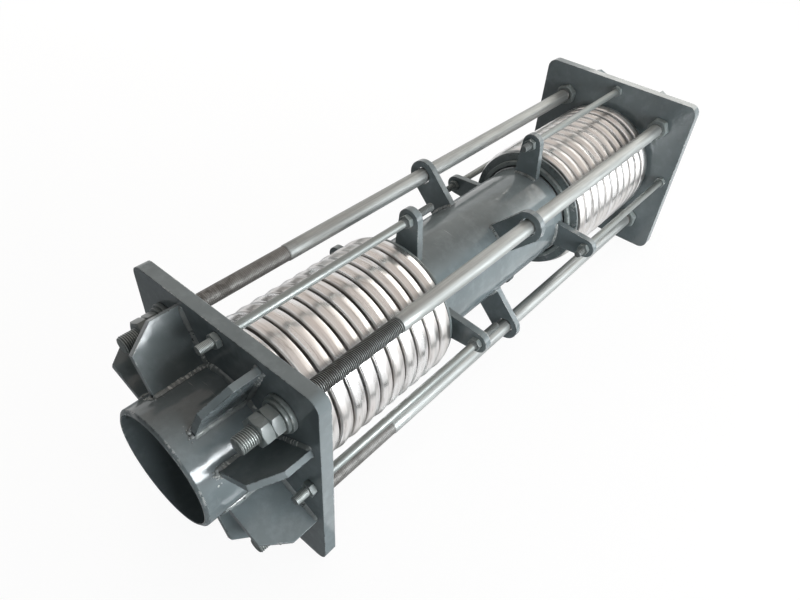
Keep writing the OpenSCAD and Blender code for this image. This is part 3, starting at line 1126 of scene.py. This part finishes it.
@dataclass
class SpoolRings:
    """The end ring and collar at each end of the spool, each as two places and two radii."""

    ring: tuple[float, float, float, float] = (239.0, 245.0, 111.05, 142.5)
    collar: tuple[float, float, float, float] = (229.0, 239.0, 115.05, 125.05)
    soft: float = 0.8
    columns: int = 128

    def band(self, name: str, size: tuple[float, float, float, float], side: End) -> Shell:
        """A ring with small rounded edges, turned from its rectangle.

        Args:
            name: The piece's name.
            size: Its two places along X and its inner and outer radius.
            side: Which end of the spool it is on.

        Returns:
            The ring's surface, not made yet.
        """
        x0, x1, inner, outer = size
        soft = self.soft
        mid_arc = soft * 0.3
        outline = np.array([
            [x0, inner + soft], [x0, outer - soft], [x0 + mid_arc, outer - mid_arc],
            [x0 + soft, outer], [x1 - soft, outer], [x1 - mid_arc, outer - mid_arc],
            [x1, outer - soft], [x1, inner + soft], [x1 - soft, inner], [x0 + soft, inner],
        ])
        outline[:, 0] *= side.value
        return Shell(name).add(*revolve(outline, self.columns))

    def make(self, side: End, finishes: Finishes) -> None:
        """Makes both rings of one side and lets them ride on the spool.

        Args:
            side: Which end of the spool they are on.
            finishes: The joint's finishes.
        """
        # The end ring's darker enamel is painted shade, and the collar takes the thicker pale
        # enamel.
        for name, node, size, paint in (
            ("cheek_ring", "end_ring", self.ring, finishes.ring_paint),
            ("collar_ring", "collar", self.collar, finishes.pale_paint),
        ):
            piece = self.band(f"{side.word}_{name}", size, side).make(paint)
            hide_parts(f"{side.word}_{node}")
            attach(piece, "spool")


@dataclass
class EndFrame:
    """An end plate with its eight gussets, dressed, and the welds that hold them to the pipe."""

    side: End
    face: float = 647.0
    pipe: float = 109.55
    gusset_end: float = 742.0
    gusset_tip: float = 215.8
    thickness: float = 12.0
    spread: float = 19.0
    leg: float = 5.0
    ripple: float = 3.4
    pipe_leg: float = 6.0
    pipe_ripple: float = 3.8
    pipe_seed: int = 99
    crisp: float = 50.0
    plate_reach: float = 205.0
    foot_blobs: Pair = (3.2, 5.0)
    tip_blobs: Pair = (2.8, 4.4)
    foot_specks: Pair = (0.7, 2.2)
    tip_specks: Pair = (0.7, 2.0)

    def gusset_angles(self) -> list[float]:
        """The eight gussets' angles: each tie rod's, less and plus the spread."""
        turn = math.radians(self.spread)
        return [tie_angle(number) + sign * turn for number in NUMBERS for sign in (-1, 1)]

    def dress(self, frame: dict, finishes: Finishes) -> None:
        """Gives the plate and the gussets of this side their paint.

        Args:
            frame: The loaded frame.
            finishes: The joint's finishes.
        """
        word = self.side.word
        gussets = range(1, len(self.gusset_angles()) + 1)
        names = [f"{word}_plate", *(f"{word}_gusset_{number}" for number in gussets)]
        dress_nodes(frame, names, finishes.paint)

    def gusset_weld(self, shell: Shell, number: int, angle: float) -> None:
        """Lays the four fillets of one gusset: two along the pipe and two up the plate.

        Args:
            shell: What the beads are added to.
            number: The gusset's place among the eight, which sets the beads' seeds.
            angle: Its angle about the pipe.
        """
        sign = self.side.value
        out = np.array([0.0, *off_axis(1.0, angle)])
        across = np.array([0.0, -math.sin(angle), math.cos(angle)])
        foot_r = math.sqrt(self.pipe**2 - (self.thickness / 2) ** 2)
        lap, past, under = 1.0, 2.5, 2.0
        x = np.linspace(self.face - lap, self.gusset_end + past, 72)[:, None]
        r = np.linspace(self.pipe - under, self.gusset_tip - lap, 80)[:, None]
        for hand in (-1.0, 1.0):
            aside = hand * self.thickness / 2 * across
            path = sign * x * np.array([1.0, 0.0, 0.0]) + (foot_r * out + aside)
            legs = np.ones_like(x) * out, np.ones_like(x) * hand * across
            shell.add(*weld_bead(path, *legs, self.leg, self.ripple, number * 7 + 1))
            path = r * out + aside + np.array([sign * self.face, 0.0, 0.0])
            legs = np.ones_like(r) * [float(sign), 0.0, 0.0], np.ones_like(r) * hand * across
            shell.add(*weld_bead(path, *legs, self.leg, self.ripple, number * 7 + 2))

    def weld(self, finishes: Finishes) -> bpy.types.Object:
        """Lays the fillets along each gusset's foot and back, and round the pipe at the plate.

        Args:
            finishes: The joint's finishes.

        Returns:
            The piece with all welds and spatter of this side.
        """
        shell = Shell(f"{self.side.word}_end_welds")
        for number, angle in enumerate(self.gusset_angles()):
            self.gusset_weld(shell, number, angle)
        radial = away(np.linspace(0.0, TAU, 420))
        along = np.ones((len(radial), 1)) * np.array([float(self.side.value), 0.0, 0.0])
        path = self.pipe * radial + along * self.face
        shell.add(*weld_bead(path, along, radial, self.pipe_leg, self.pipe_ripple, self.pipe_seed))
        self.spatter(shell)
        piece = shell.make(finishes.weld_paint, self.crisp)
        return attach(piece, self.side.body)

    def plate_spots(
        self, reach: np.ndarray, aside: np.ndarray, angles: np.ndarray
    ) -> tuple[np.ndarray, np.ndarray]:
        """Points on the plate's outer face, kept inside its edges, and the normals there.

        With d = reach and s = aside, a point is (face, d cos a - s sin a, d sin a + s cos a).

        Args:
            reach: Distances from the axis.
            aside: Distances to the side of each gusset's middle.
            angles: The gussets' angles.

        Returns:
            The points and their unit normals.
        """
        sign = float(self.side.value)
        limit = self.plate_reach
        y = np.clip(reach * np.cos(angles) - aside * np.sin(angles), -limit, limit)
        z = np.clip(reach * np.sin(angles) + aside * np.cos(angles), -limit, limit)
        spots = np.stack([np.full(len(angles), sign * self.face), y, z], axis=-1)
        return spots, np.tile([sign, 0.0, 0.0], (len(angles), 1))

    def spatter(self, shell: Shell) -> None:
        """Ends the gussets' beads in blobs, and scatters lumps on the pipe and the plate there.

        Args:
            shell: What the lumps are added to.
        """
        chance = np.random.default_rng(self.side.pick((31, 37)))
        sign = self.side.value
        blob = {"rows": 9, "sides": 14}
        blob_aside, blob_past = [-7.0, -2.5, 2.5, 7.0], [0.0, 3.5, 3.0, -1.0]
        gussets = len(self.gusset_angles())
        angles = np.repeat(self.gusset_angles(), len(blob_aside))
        count = len(angles)
        aside = np.tile(blob_aside, gussets) + chance.normal(0.0, 0.8, count)
        x = self.gusset_end + np.tile(blob_past, gussets)
        x += chance.normal(0.0, 0.8, count)
        where = pipe_spots(self.pipe, angles + aside / self.pipe, sign * x)
        shell.add(*droplets(*where, chance.uniform(*self.foot_blobs, count), **blob))
        reach = self.gusset_tip - 5.0 + chance.normal(0.0, 1.5, count)
        where = self.plate_spots(reach, aside, angles)
        shell.add(*droplets(*where, chance.uniform(*self.tip_blobs, count), **blob))
        angles = np.repeat(self.gusset_angles(), 10)
        count = len(angles)
        turn = angles + chance.normal(0.0, 0.075, count)
        x = self.gusset_end + chance.normal(3.0, 6.0, count)
        where = pipe_spots(self.pipe, turn, sign * x)
        shell.add(*droplets(*where, chance.uniform(*self.foot_specks, count)))
        angles = np.repeat(self.gusset_angles(), 6)
        count = len(angles)
        reach = self.gusset_tip + chance.normal(-9.0, 4.0, count)
        aside = chance.normal(0.0, 7.0, count)
        where = self.plate_spots(reach, aside, angles)
        shell.add(*droplets(*where, chance.uniform(*self.tip_specks, count)))


@dataclass
class TieRods:
    """The four thick rods from plate to plate, with their guide lugs, nuts and washers."""

    circle: float = 191.6
    shank: float = 16.0
    crest: float = 15.0
    root: float = 12.95
    filled_root: float = 14.6
    pitch: float = 3.5
    end: float = 729.0
    inside_from: float = -640.0
    near_thread_to: float = -400.0
    far_thread_from: float = 597.0
    flats: float = 46.0
    thick_washer: float = 32.0
    thick_bands: tuple[Pair, Pair] = ((-655.3, -647.3), (647.0, 655.0))
    thin_washer: float = 28.5
    thin_bands: tuple[Pair, Pair] = ((-661.3, -655.3), (655.0, 661.0))
    oiled: int = 2
    cap_mark: float = 1.4
    columns: int = 32
    washer_columns: int = 72
    crisp_rod: float = 60.0
    crisp_nut: float = 30.0
    crisp_washer: float = 40.0

    def rod(self, number: int, steel: bpy.types.Material) -> bpy.types.Object:
        """One rod: a long thread at its left end, a plain shank, and a short thread at its right.

        The oiled rod has open threads. On the others, inside the left plate, paint and scale fill
        them.

        Args:
            number: Which rod, from 1 to 4.
            steel: Its finish.

        Returns:
            The piece.
        """
        centre = off_axis(self.circle, tie_angle(number))
        inside = self.root if number == self.oiled else self.filled_root
        shell = Shell(f"tie_bar_{number}")
        for x0, x1, root in (
            (-self.end, self.inside_from, self.root),
            (self.inside_from, self.near_thread_to, inside),
            (self.far_thread_from, self.end, self.root),
        ):
            points, quads, height = thread_surface(
                (x0, x1), self.crest, root, self.pitch, self.columns, centre
            )
            shell.add(points, quads, 1.0 + height)
        x0, x1, shank = self.near_thread_to, self.far_thread_from, self.shank
        step, soft, plain = 0.2, 1.0, 60.0
        outline = np.array([
            [x0, inside], [x0 + step, shank - soft], [x0 + step + soft, shank],
            [x0 + plain, shank], [x1 - plain, shank], [x1 - step - soft, shank],
            [x1 - step, shank - soft], [x1, self.root],
        ])
        shell.add(*revolve(outline, self.columns, centre, closed=False))
        end, root = self.end, self.root
        for cap in ([[-end, 0.0], [-end, root]], [[end, root], [end, 0.0]]):
            shell.add(*revolve(np.array(cap), self.columns, centre, closed=False), self.cap_mark)
        piece = shell.make(steel, self.crisp_rod)
        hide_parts(f"tie_rod_{number}")
        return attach(piece, "right_end")

    def nut_corner(self, frame: dict, node: str, number: int) -> float:
        """The angle of a corner of this rod's nut, read from the frame's own nut.

        Args:
            frame: The loaded frame.
            node: The nuts' node.
            number: Which tie rod.

        Returns:
            The angle, in radians, of the node's farthest point from the rod's axis.
        """
        mesh = frame["nodes"][node].data
        points = np.zeros(len(mesh.vertices) * 3)
        mesh.vertices.foreach_get("co", points)
        y, z = (points.reshape(-1, 3)[:, 1:] / MM - off_axis(self.circle, tie_angle(number))).T
        reach = np.hypot(y, z)
        best = int(np.argmax(np.where(reach < self.flats, reach, 0.0)))
        return math.atan2(z[best], y[best])

    def nuts(
        self, frame: dict, node: str, name: str, paint: bpy.types.Material
    ) -> bpy.types.Object:
        """The four nuts of one row, where the frame has them.

        Args:
            frame: The loaded frame.
            node: The nuts' node.
            name: The new piece's name.
            paint: Its finish.

        Returns:
            The piece.
        """
        low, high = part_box(node)
        shell = Shell(name)
        for number in NUMBERS:
            centre = off_axis(self.circle, tie_angle(number))
            corner = self.nut_corner(frame, node, number)
            bore = self.crest + 0.1
            shell.add(*hex_nut((low.x / MM, high.x / MM), self.flats, bore, corner, centre))
        piece = shell.make(paint, self.crisp_nut)
        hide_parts(node)
        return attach(piece, "right_end")

    def washers(
        self, node: str, name: str, bands: tuple[Pair, Pair], radius: float,
        paint: bpy.types.Material,
    ) -> None:
        """Rows of washers with rounded rims, each turned from its outline.

        Args:
            node: The node they stand for.
            name: The new piece's name.
            bands: The two faces of each row.
            radius: Their outer radius.
            paint: Their finish.
        """
        shell = Shell(name)
        bore = self.shank + 0.6
        soft, mid_arc = 0.7, 0.2
        for x0, x1 in bands:
            outline = np.array([
                [x0, bore], [x0, radius - soft], [x0 + mid_arc, radius - mid_arc],
                [x0 + soft, radius], [x1 - soft, radius], [x1 - mid_arc, radius - mid_arc],
                [x1, radius - soft], [x1, bore],
            ])
            for number in NUMBERS:
                centre = off_axis(self.circle, tie_angle(number))
                shell.add(*revolve(outline, self.washer_columns, centre))
        piece = shell.make(paint, self.crisp_washer)
        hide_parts(node)
        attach(piece, "right_end")

    def make(self, frame: dict, finishes: Finishes) -> None:
        """Makes the rods, nuts and washers, and dresses the lugs.

        Args:
            frame: The loaded frame.
            finishes: The joint's finishes.
        """
        for number in NUMBERS:
            self.rod(number, finishes.oiled_rod if number == self.oiled else finishes.rod)
        dress_nodes(frame, [f"tie_lug_{number}" for number in NUMBERS], finishes.paint)
        pale = finishes.pale_paint
        for node, name in (
            ("left_tie_nuts", "near_seat_nuts"),
            ("left_lock_nuts", "near_jam_nuts"),
            ("right_tie_nuts", "far_seat_nuts"),
            ("right_lock_nuts", "far_jam_nuts"),
            ("right_inner_nuts", "far_back_nuts"),
        ):
            self.nuts(frame, node, name, pale)
        self.washers("seat_washers", "plate_washers", self.thick_bands, self.thick_washer, pale)
        self.washers("thrust_washers", "nut_washers", self.thin_bands, self.thin_washer, pale)


@dataclass
class LimitRods:
    """The eight thin rods over the bellows, with their lugs and nuts."""

    circle: float = 187.0
    radius: float = 8.0
    root: float = 6.9
    filled_root: float = 7.6
    pitch: float = 2.0
    reach: tuple[Pair, Pair] = ((-682.0, -152.0), (171.0, 682.0))
    outer_thread: float = 42.0
    inner_thread: Pair = (84.0, 60.0)
    cap_mark: float = 1.5
    columns: int = 24
    crisp: float = 60.0

    def rod(self, side: End, number: int, steel: bpy.types.Material) -> bpy.types.Object:
        """One rod: paint-filled thread outside its plate, bare bar, and open thread at its lug.

        Args:
            side: Which bellows it lies over.
            number: Which rod, from 1 to 4.
            steel: Its finish.

        Returns:
            The piece.
        """
        centre = off_axis(self.circle, limit_angle(number))
        x0, x1 = side.pick(self.reach)
        threads = [(self.outer_thread, self.filled_root), (side.pick(self.inner_thread), self.root)]
        if side is End.RIGHT:
            threads.reverse()
        (first_len, first_root), (last_len, last_root) = threads
        shell = Shell(f"{side.word}_guide_bar_{number}")
        for span, root in (
            ((x0, x0 + first_len), first_root), ((x1 - last_len, x1), last_root),
        ):
            points, quads, height = thread_surface(
                span, self.radius, root, self.pitch, self.columns, centre
            )
            shell.add(points, quads, 1.0 + height)
        soft = 0.5
        outline = np.array([
            [x0 + first_len, first_root], [x0 + first_len + soft, self.radius],
            [x1 - last_len - soft, self.radius], [x1 - last_len, last_root],
        ])
        shell.add(*revolve(outline, self.columns, centre, closed=False))
        for cap in ([[x0, 0.0], [x0, first_root]], [[x1, last_root], [x1, 0.0]]):
            shell.add(*revolve(np.array(cap), self.columns, centre, closed=False), self.cap_mark)
        piece = shell.make(steel, self.crisp)
        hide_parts(f"{side.word}_limit_rod_{number}")
        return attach(piece, side.pick(("spool", "right_end")))

    def make(self, frame: dict, finishes: Finishes) -> None:
        """Makes the rods, and dresses the lugs and nuts.

        Args:
            frame: The loaded frame.
            finishes: The joint's finishes.
        """
        for side in End:
            for number in NUMBERS:
                self.rod(side, number, finishes.limit_rod)
            lugs = [f"{side.word}_limit_lug_{number}" for number in NUMBERS]
            dress_nodes(frame, lugs, finishes.paint)
            dress_nodes(frame, [f"{side.word}_limit_nuts"], finishes.pale_paint)


@dataclass
class LugWelds:
    """Fillets at the feet of the lugs on the spool pipe."""

    pipe: float = 109.55
    tie_half: float = 33.0
    tie_faces: Pair = (-7.0, 7.0)
    limit_half: float = 29.0
    limit_faces: Pair = (204.0, 219.0)
    leg: float = 4.2
    ripple: float = 3.1
    specks: Pair = (0.6, 1.6)
    specks_per_lug: int = 9
    seed: int = 53
    crisp: float = 50.0

    def arc(
        self, shell: Shell, x: float, toward: float, angle: float, half: float, seed: int
    ) -> None:
        """One bead along a lug's foot.

        Args:
            shell: What the bead is added to.
            x: Where the lug's face is.
            toward: The sign of X that the face's outside points to.
            angle: The lug's angle about the pipe.
            half: Half the lug's width at its foot.
            seed: Sets the bead's slow waves.
        """
        reach = math.asin(half / self.pipe)
        radial = away(np.linspace(angle - reach, angle + reach, 60))
        along = np.ones((len(radial), 1)) * np.array([toward, 0.0, 0.0])
        path = self.pipe * radial + np.array([x, 0.0, 0.0])
        shell.add(*weld_bead(path, along, radial, self.leg, self.ripple, seed))

    def make(self, finishes: Finishes) -> bpy.types.Object:
        """Makes every lug's beads and a little spatter as one piece on the spool.

        Args:
            finishes: The joint's finishes.

        Returns:
            The piece.
        """
        shell = Shell("lug_welds")
        for number in NUMBERS:
            for x, toward in zip(self.tie_faces, (-1.0, 1.0)):
                self.arc(shell, x, toward, tie_angle(number), self.tie_half, number * 5)
            angle, seed = limit_angle(number), number * 11
            for side in End:
                sign = float(side.value)
                for x, toward in zip(self.limit_faces, (-1.0, 1.0)):
                    self.arc(shell, sign * x, sign * toward, angle, self.limit_half, seed)
        chance = np.random.default_rng(self.seed)
        angles = np.repeat([tie_angle(number) for number in NUMBERS], self.specks_per_lug)
        turn = angles + chance.normal(0.0, 0.2, len(angles))
        where = pipe_spots(self.pipe, turn, chance.normal(0.0, 11.0, len(angles)))
        shell.add(*droplets(*where, chance.uniform(*self.specks, len(angles))))
        piece = shell.make(finishes.weld_paint, self.crisp)
        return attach(piece, "spool")


# The studio


@dataclass(frozen=True)
class SoftLamp:
    """A rectangular lamp that faces a target. Its power is in watts."""

    name: str
    place: Triple
    target: Triple
    size: Pair
    power: float
    tint: Colour
    mirrored: bool = True
    lights: bool = True

    def make(self) -> None:
        """Hangs the lamp, which the camera looks through."""
        data = bpy.data.lights.new(self.name, "AREA")
        data.shape, (data.size, data.size_y) = "RECTANGLE", self.size
        data.energy, data.color = self.power, self.tint
        lamp = bpy.data.objects.new(self.name, data)
        lamp.location = self.place
        aim = Vector(self.target) - Vector(self.place)
        lamp.rotation_euler = aim.to_track_quat("-Z", "Y").to_euler()
        lamp.visible_camera = False
        lamp.visible_glossy = self.mirrored
        lamp.visible_diffuse = self.lights
        bpy.context.scene.collection.objects.link(lamp)


DAY = (0.93, 0.975, 1.0)
LAMPS = (
    SoftLamp("window_light", (-0.15, -2.8, 0.42), (-0.15, 0.0, 0.1), (2.5, 1.9), 102.0, DAY,
             mirrored=False),
    SoftLamp("side_window", (2.3, -2.8, 0.42), (1.6, 0.0, 0.1), (2.6, 1.9), 52.0, DAY),
    SoftLamp("bright_pane", (-0.34, -2.75, 0.81), (-0.34, 0.0, 0.3), (1.1, 0.9), 84.0, DAY,
             lights=False),
    SoftLamp("back_fill", (2.4, 3.4, 2.1), (0.3, 0.0, 0.0), (4.0, 2.4), 110.0, (1.0, 0.98, 0.95),
             mirrored=False),
    SoftLamp("far_window", (4.0, -0.6, 2.2), (0.0, -0.6, 1.4), (4.4, 1.6), 50.0, (1.0, 0.97, 0.91)),
)


@dataclass
class Studio:
    """Camera, lights, floor and backdrop. Lengths here are in metres."""

    eye: Triple = (-0.99995, -0.60540, 0.86177)
    look: Triple = (0.58422, 0.43500, -0.68518)
    down: Triple = (-0.49234, -0.48119, -0.72529)
    lens: float = 28.962
    sensor: float = 36.0
    clip_end: float = 60.0
    shift: Pair = (-0.0119, 0.0276)
    floor_z: float = -0.20998
    floor_half: float = 14.0
    floor_grey: float = 0.30
    floor_glow: float = 1.2
    floor_share: float = 0.78
    ceiling_z: float = 3.1
    mat_lift: float = 0.003
    dark: Colour = (0.30, 0.32, 0.33)
    ambient: float = 0.09
    ambient_tint: Colour = (0.93, 0.97, 1.0)

    def camera(self) -> None:
        """A pinhole camera, level with the photograph's view, for a frame of 800 by 600."""
        data = bpy.data.cameras.new("camera")
        data.lens, data.sensor_width, data.clip_end = self.lens, self.sensor, self.clip_end
        data.shift_x, data.shift_y = self.shift
        camera = bpy.data.objects.new("camera", data)
        look, up = Vector(self.look), -Vector(self.down)
        right = look.cross(up).normalized()
        up = right.cross(look).normalized()
        rows = [(right[i], up[i], -look[i], self.eye[i]) for i in range(3)]
        camera.matrix_world = Matrix([*rows, (0.0, 0.0, 0.0, 1.0)])
        bpy.context.scene.collection.objects.link(camera)
        bpy.context.scene.camera = camera

    @staticmethod
    def card(name: str, corners: list[Triple], colour: Colour, level: float) -> bpy.types.Object:
        """A studio card that lights and is mirrored, and that the camera looks through.

        Its colour drifts between the full tone and a dimmer one, as a room's ceiling does.

        Args:
            name: The card's name.
            corners: Its four corners, in order.
            colour: Its colour.
            level: How brightly it shines.

        Returns:
            The card, marked as stage.
        """
        cloud_scale, dim = 0.9, 0.55
        mesh = bpy.data.meshes.new(name)
        mesh.from_pydata(corners, [], [(0, 1, 2, 3)])
        card = bpy.data.objects.new(name, mesh)
        material = bpy.data.materials.new(name)
        material.use_nodes = True
        nodes, links = material.node_tree.nodes, material.node_tree.links
        nodes.clear()
        glow = nodes.new("ShaderNodeEmission")
        glow.inputs["Strength"].default_value = level
        place, cloud = nodes.new("ShaderNodeTexCoord"), nodes.new("ShaderNodeTexNoise")
        cloud.inputs["Scale"].default_value = cloud_scale
        tint = nodes.new("ShaderNodeMix")
        tint.data_type = "RGBA"
        sockets = [socket for socket in tint.inputs if socket.type == "RGBA"]
        sockets[0].default_value = (*colour, 1.0)
        sockets[1].default_value = (*(dim * part for part in colour), 1.0)
        mixed = next(socket for socket in tint.outputs if socket.type == "RGBA")
        output = nodes.new("ShaderNodeOutputMaterial")
        links.new(place.outputs["Object"], cloud.inputs["Vector"])
        links.new(cloud.outputs["Fac"], tint.inputs["Factor"])
        links.new(mixed, glow.inputs["Color"])
        links.new(glow.outputs["Emission"], output.inputs["Surface"])
        mesh.materials.append(material)
        bpy.context.scene.collection.objects.link(card)
        card.visible_camera = False
        card.visible_shadow = False
        return card

    def cards(self) -> None:
        """The warm ceiling, a dark flag behind the camera, and dark mats only mirrors see, as
        painted shadow of the floor under the joint.
        """
        z = self.ceiling_z
        ceiling = [(-0.9, -3.5, z), (-0.9, 6.0, z), (4.6, 6.0, z), (4.6, -3.5, z)]
        self.card("ceiling_card", ceiling, (1.0, 0.91, 0.84), 0.92)
        flag = [(-3.4, -6.0, -0.2), (-3.4, 7.0, -0.2), (-3.4, 7.0, z), (-3.4, -6.0, z)]
        self.card("dark_flag", flag, self.dark, 0.55)
        # Painted shadow: dark mats that only mirrors see stand in for the floor's shade under the
        # joint.
        low = self.floor_z + self.mat_lift
        for number, (x0, x1, y0, y1) in enumerate((
            (-1.7, -0.6, -0.8, 0.0),
            (-1.7, -0.8, 0.0, 0.9),
            (-0.8, -0.6, 0.2, 0.9),
            (-0.6, 1.1, -0.17, 0.9),
        ), 1):
            mat = [(x0, y0, low), (x1, y0, low), (x1, y1, low), (x0, y1, low)]
            self.card(f"dark_mat_{number}", mat, self.dark, 1.2).visible_diffuse = False

    @staticmethod
    def background(
        nodes: bpy.types.Nodes, links: bpy.types.NodeLinks
    ) -> bpy.types.NodeSocket:
        """The share of rays that see the white background: camera, mirrored and transmitted ones.

        Args:
            nodes: The nodes of the tree it is used in.
            links: The links of that tree.

        Returns:
            The socket of the share, 0 or 1.
        """
        path = nodes.new("ShaderNodeLightPath")
        total = path.outputs["Is Camera Ray"]
        for name in ("Is Glossy Ray", "Is Transmission Ray"):
            add = nodes.new("ShaderNodeMath")
            add.operation, add.use_clamp = "ADD", True
            links.new(total, add.inputs[0])
            links.new(path.outputs[name], add.inputs[1])
            total = add.outputs[0]
        return total

    def world(self) -> None:
        """White where it is seen or mirrored, and a plain soft level of light elsewhere."""
        world = bpy.data.worlds.new("studio")
        world.use_nodes = True
        nodes, links = world.node_tree.nodes, world.node_tree.links
        nodes.clear()
        seen, light = nodes.new("ShaderNodeBackground"), nodes.new("ShaderNodeBackground")
        seen.inputs["Color"].default_value = (1.0, 1.0, 1.0, 1.0)
        light.inputs["Color"].default_value = (*self.ambient_tint, 1.0)
        light.inputs["Strength"].default_value = self.ambient
        mix, output = nodes.new("ShaderNodeMixShader"), nodes.new("ShaderNodeOutputWorld")
        links.new(self.background(nodes, links), mix.inputs[0])
        links.new(light.outputs[0], mix.inputs[1])
        links.new(seen.outputs[0], mix.inputs[2])
        links.new(mix.outputs[0], output.inputs["Surface"])
        bpy.context.scene.world = world

    def floor(self) -> None:
        """A wide pale floor that keeps the joint's shadow and goes to white."""
        half, z = self.floor_half, self.floor_z
        mesh = bpy.data.meshes.new("floor")
        corners = [(-half, -half, z), (half, -half, z), (half, half, z), (-half, half, z)]
        mesh.from_pydata(corners, [], [(0, 1, 2, 3)])
        floor = bpy.data.objects.new("floor", mesh)
        material = bpy.data.materials.new("pale_floor")
        material.use_nodes = True
        nodes, links = material.node_tree.nodes, material.node_tree.links
        nodes.clear()
        matt, glow = nodes.new("ShaderNodeBsdfDiffuse"), nodes.new("ShaderNodeEmission")
        matt.inputs["Color"].default_value = (self.floor_grey,) * 3 + (1.0,)
        glow.inputs["Color"].default_value = (1.0, 1.0, 1.0, 1.0)
        glow.inputs["Strength"].default_value = self.floor_glow
        share = nodes.new("ShaderNodeMath")
        share.operation = "MULTIPLY"
        share.inputs[1].default_value = self.floor_share
        links.new(self.background(nodes, links), share.inputs[0])
        mix, output = nodes.new("ShaderNodeMixShader"), nodes.new("ShaderNodeOutputMaterial")
        links.new(share.outputs[0], mix.inputs[0])
        links.new(matt.outputs[0], mix.inputs[1])
        links.new(glow.outputs[0], mix.inputs[2])
        links.new(mix.outputs[0], output.inputs["Surface"])
        mesh.materials.append(material)
        bpy.context.scene.collection.objects.link(floor)

    def make(self) -> None:
        """Sets up the backdrop, the cards and the lamps."""
        self.world()
        self.floor()
        self.cards()
        for lamp in LAMPS:
            lamp.make()
        bpy.context.scene.view_settings.view_transform = "Standard"


def main() -> None:
    """Builds the joint's looks piece by piece."""
    logging.basicConfig(level=logging.INFO, format="%(message)s")
    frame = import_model()
    studio = Studio()
    studio.camera()
    finishes = Finishes.mixed()
    pipework = Pipework()
    pipework.spool(finishes.paint)
    rings = SpoolRings()
    for side in End:
        pipework.stub(side, finishes.paint)
        Bellows(side).make(finishes.bellows)
        rings.make(side, finishes)
        end = EndFrame(side)
        end.dress(frame, finishes)
        end.weld(finishes)
    TieRods().make(frame, finishes)
    LimitRods().make(frame, finishes)
    LugWelds().make(finishes)
    studio.make()


if __name__ == "__main__":
    main()
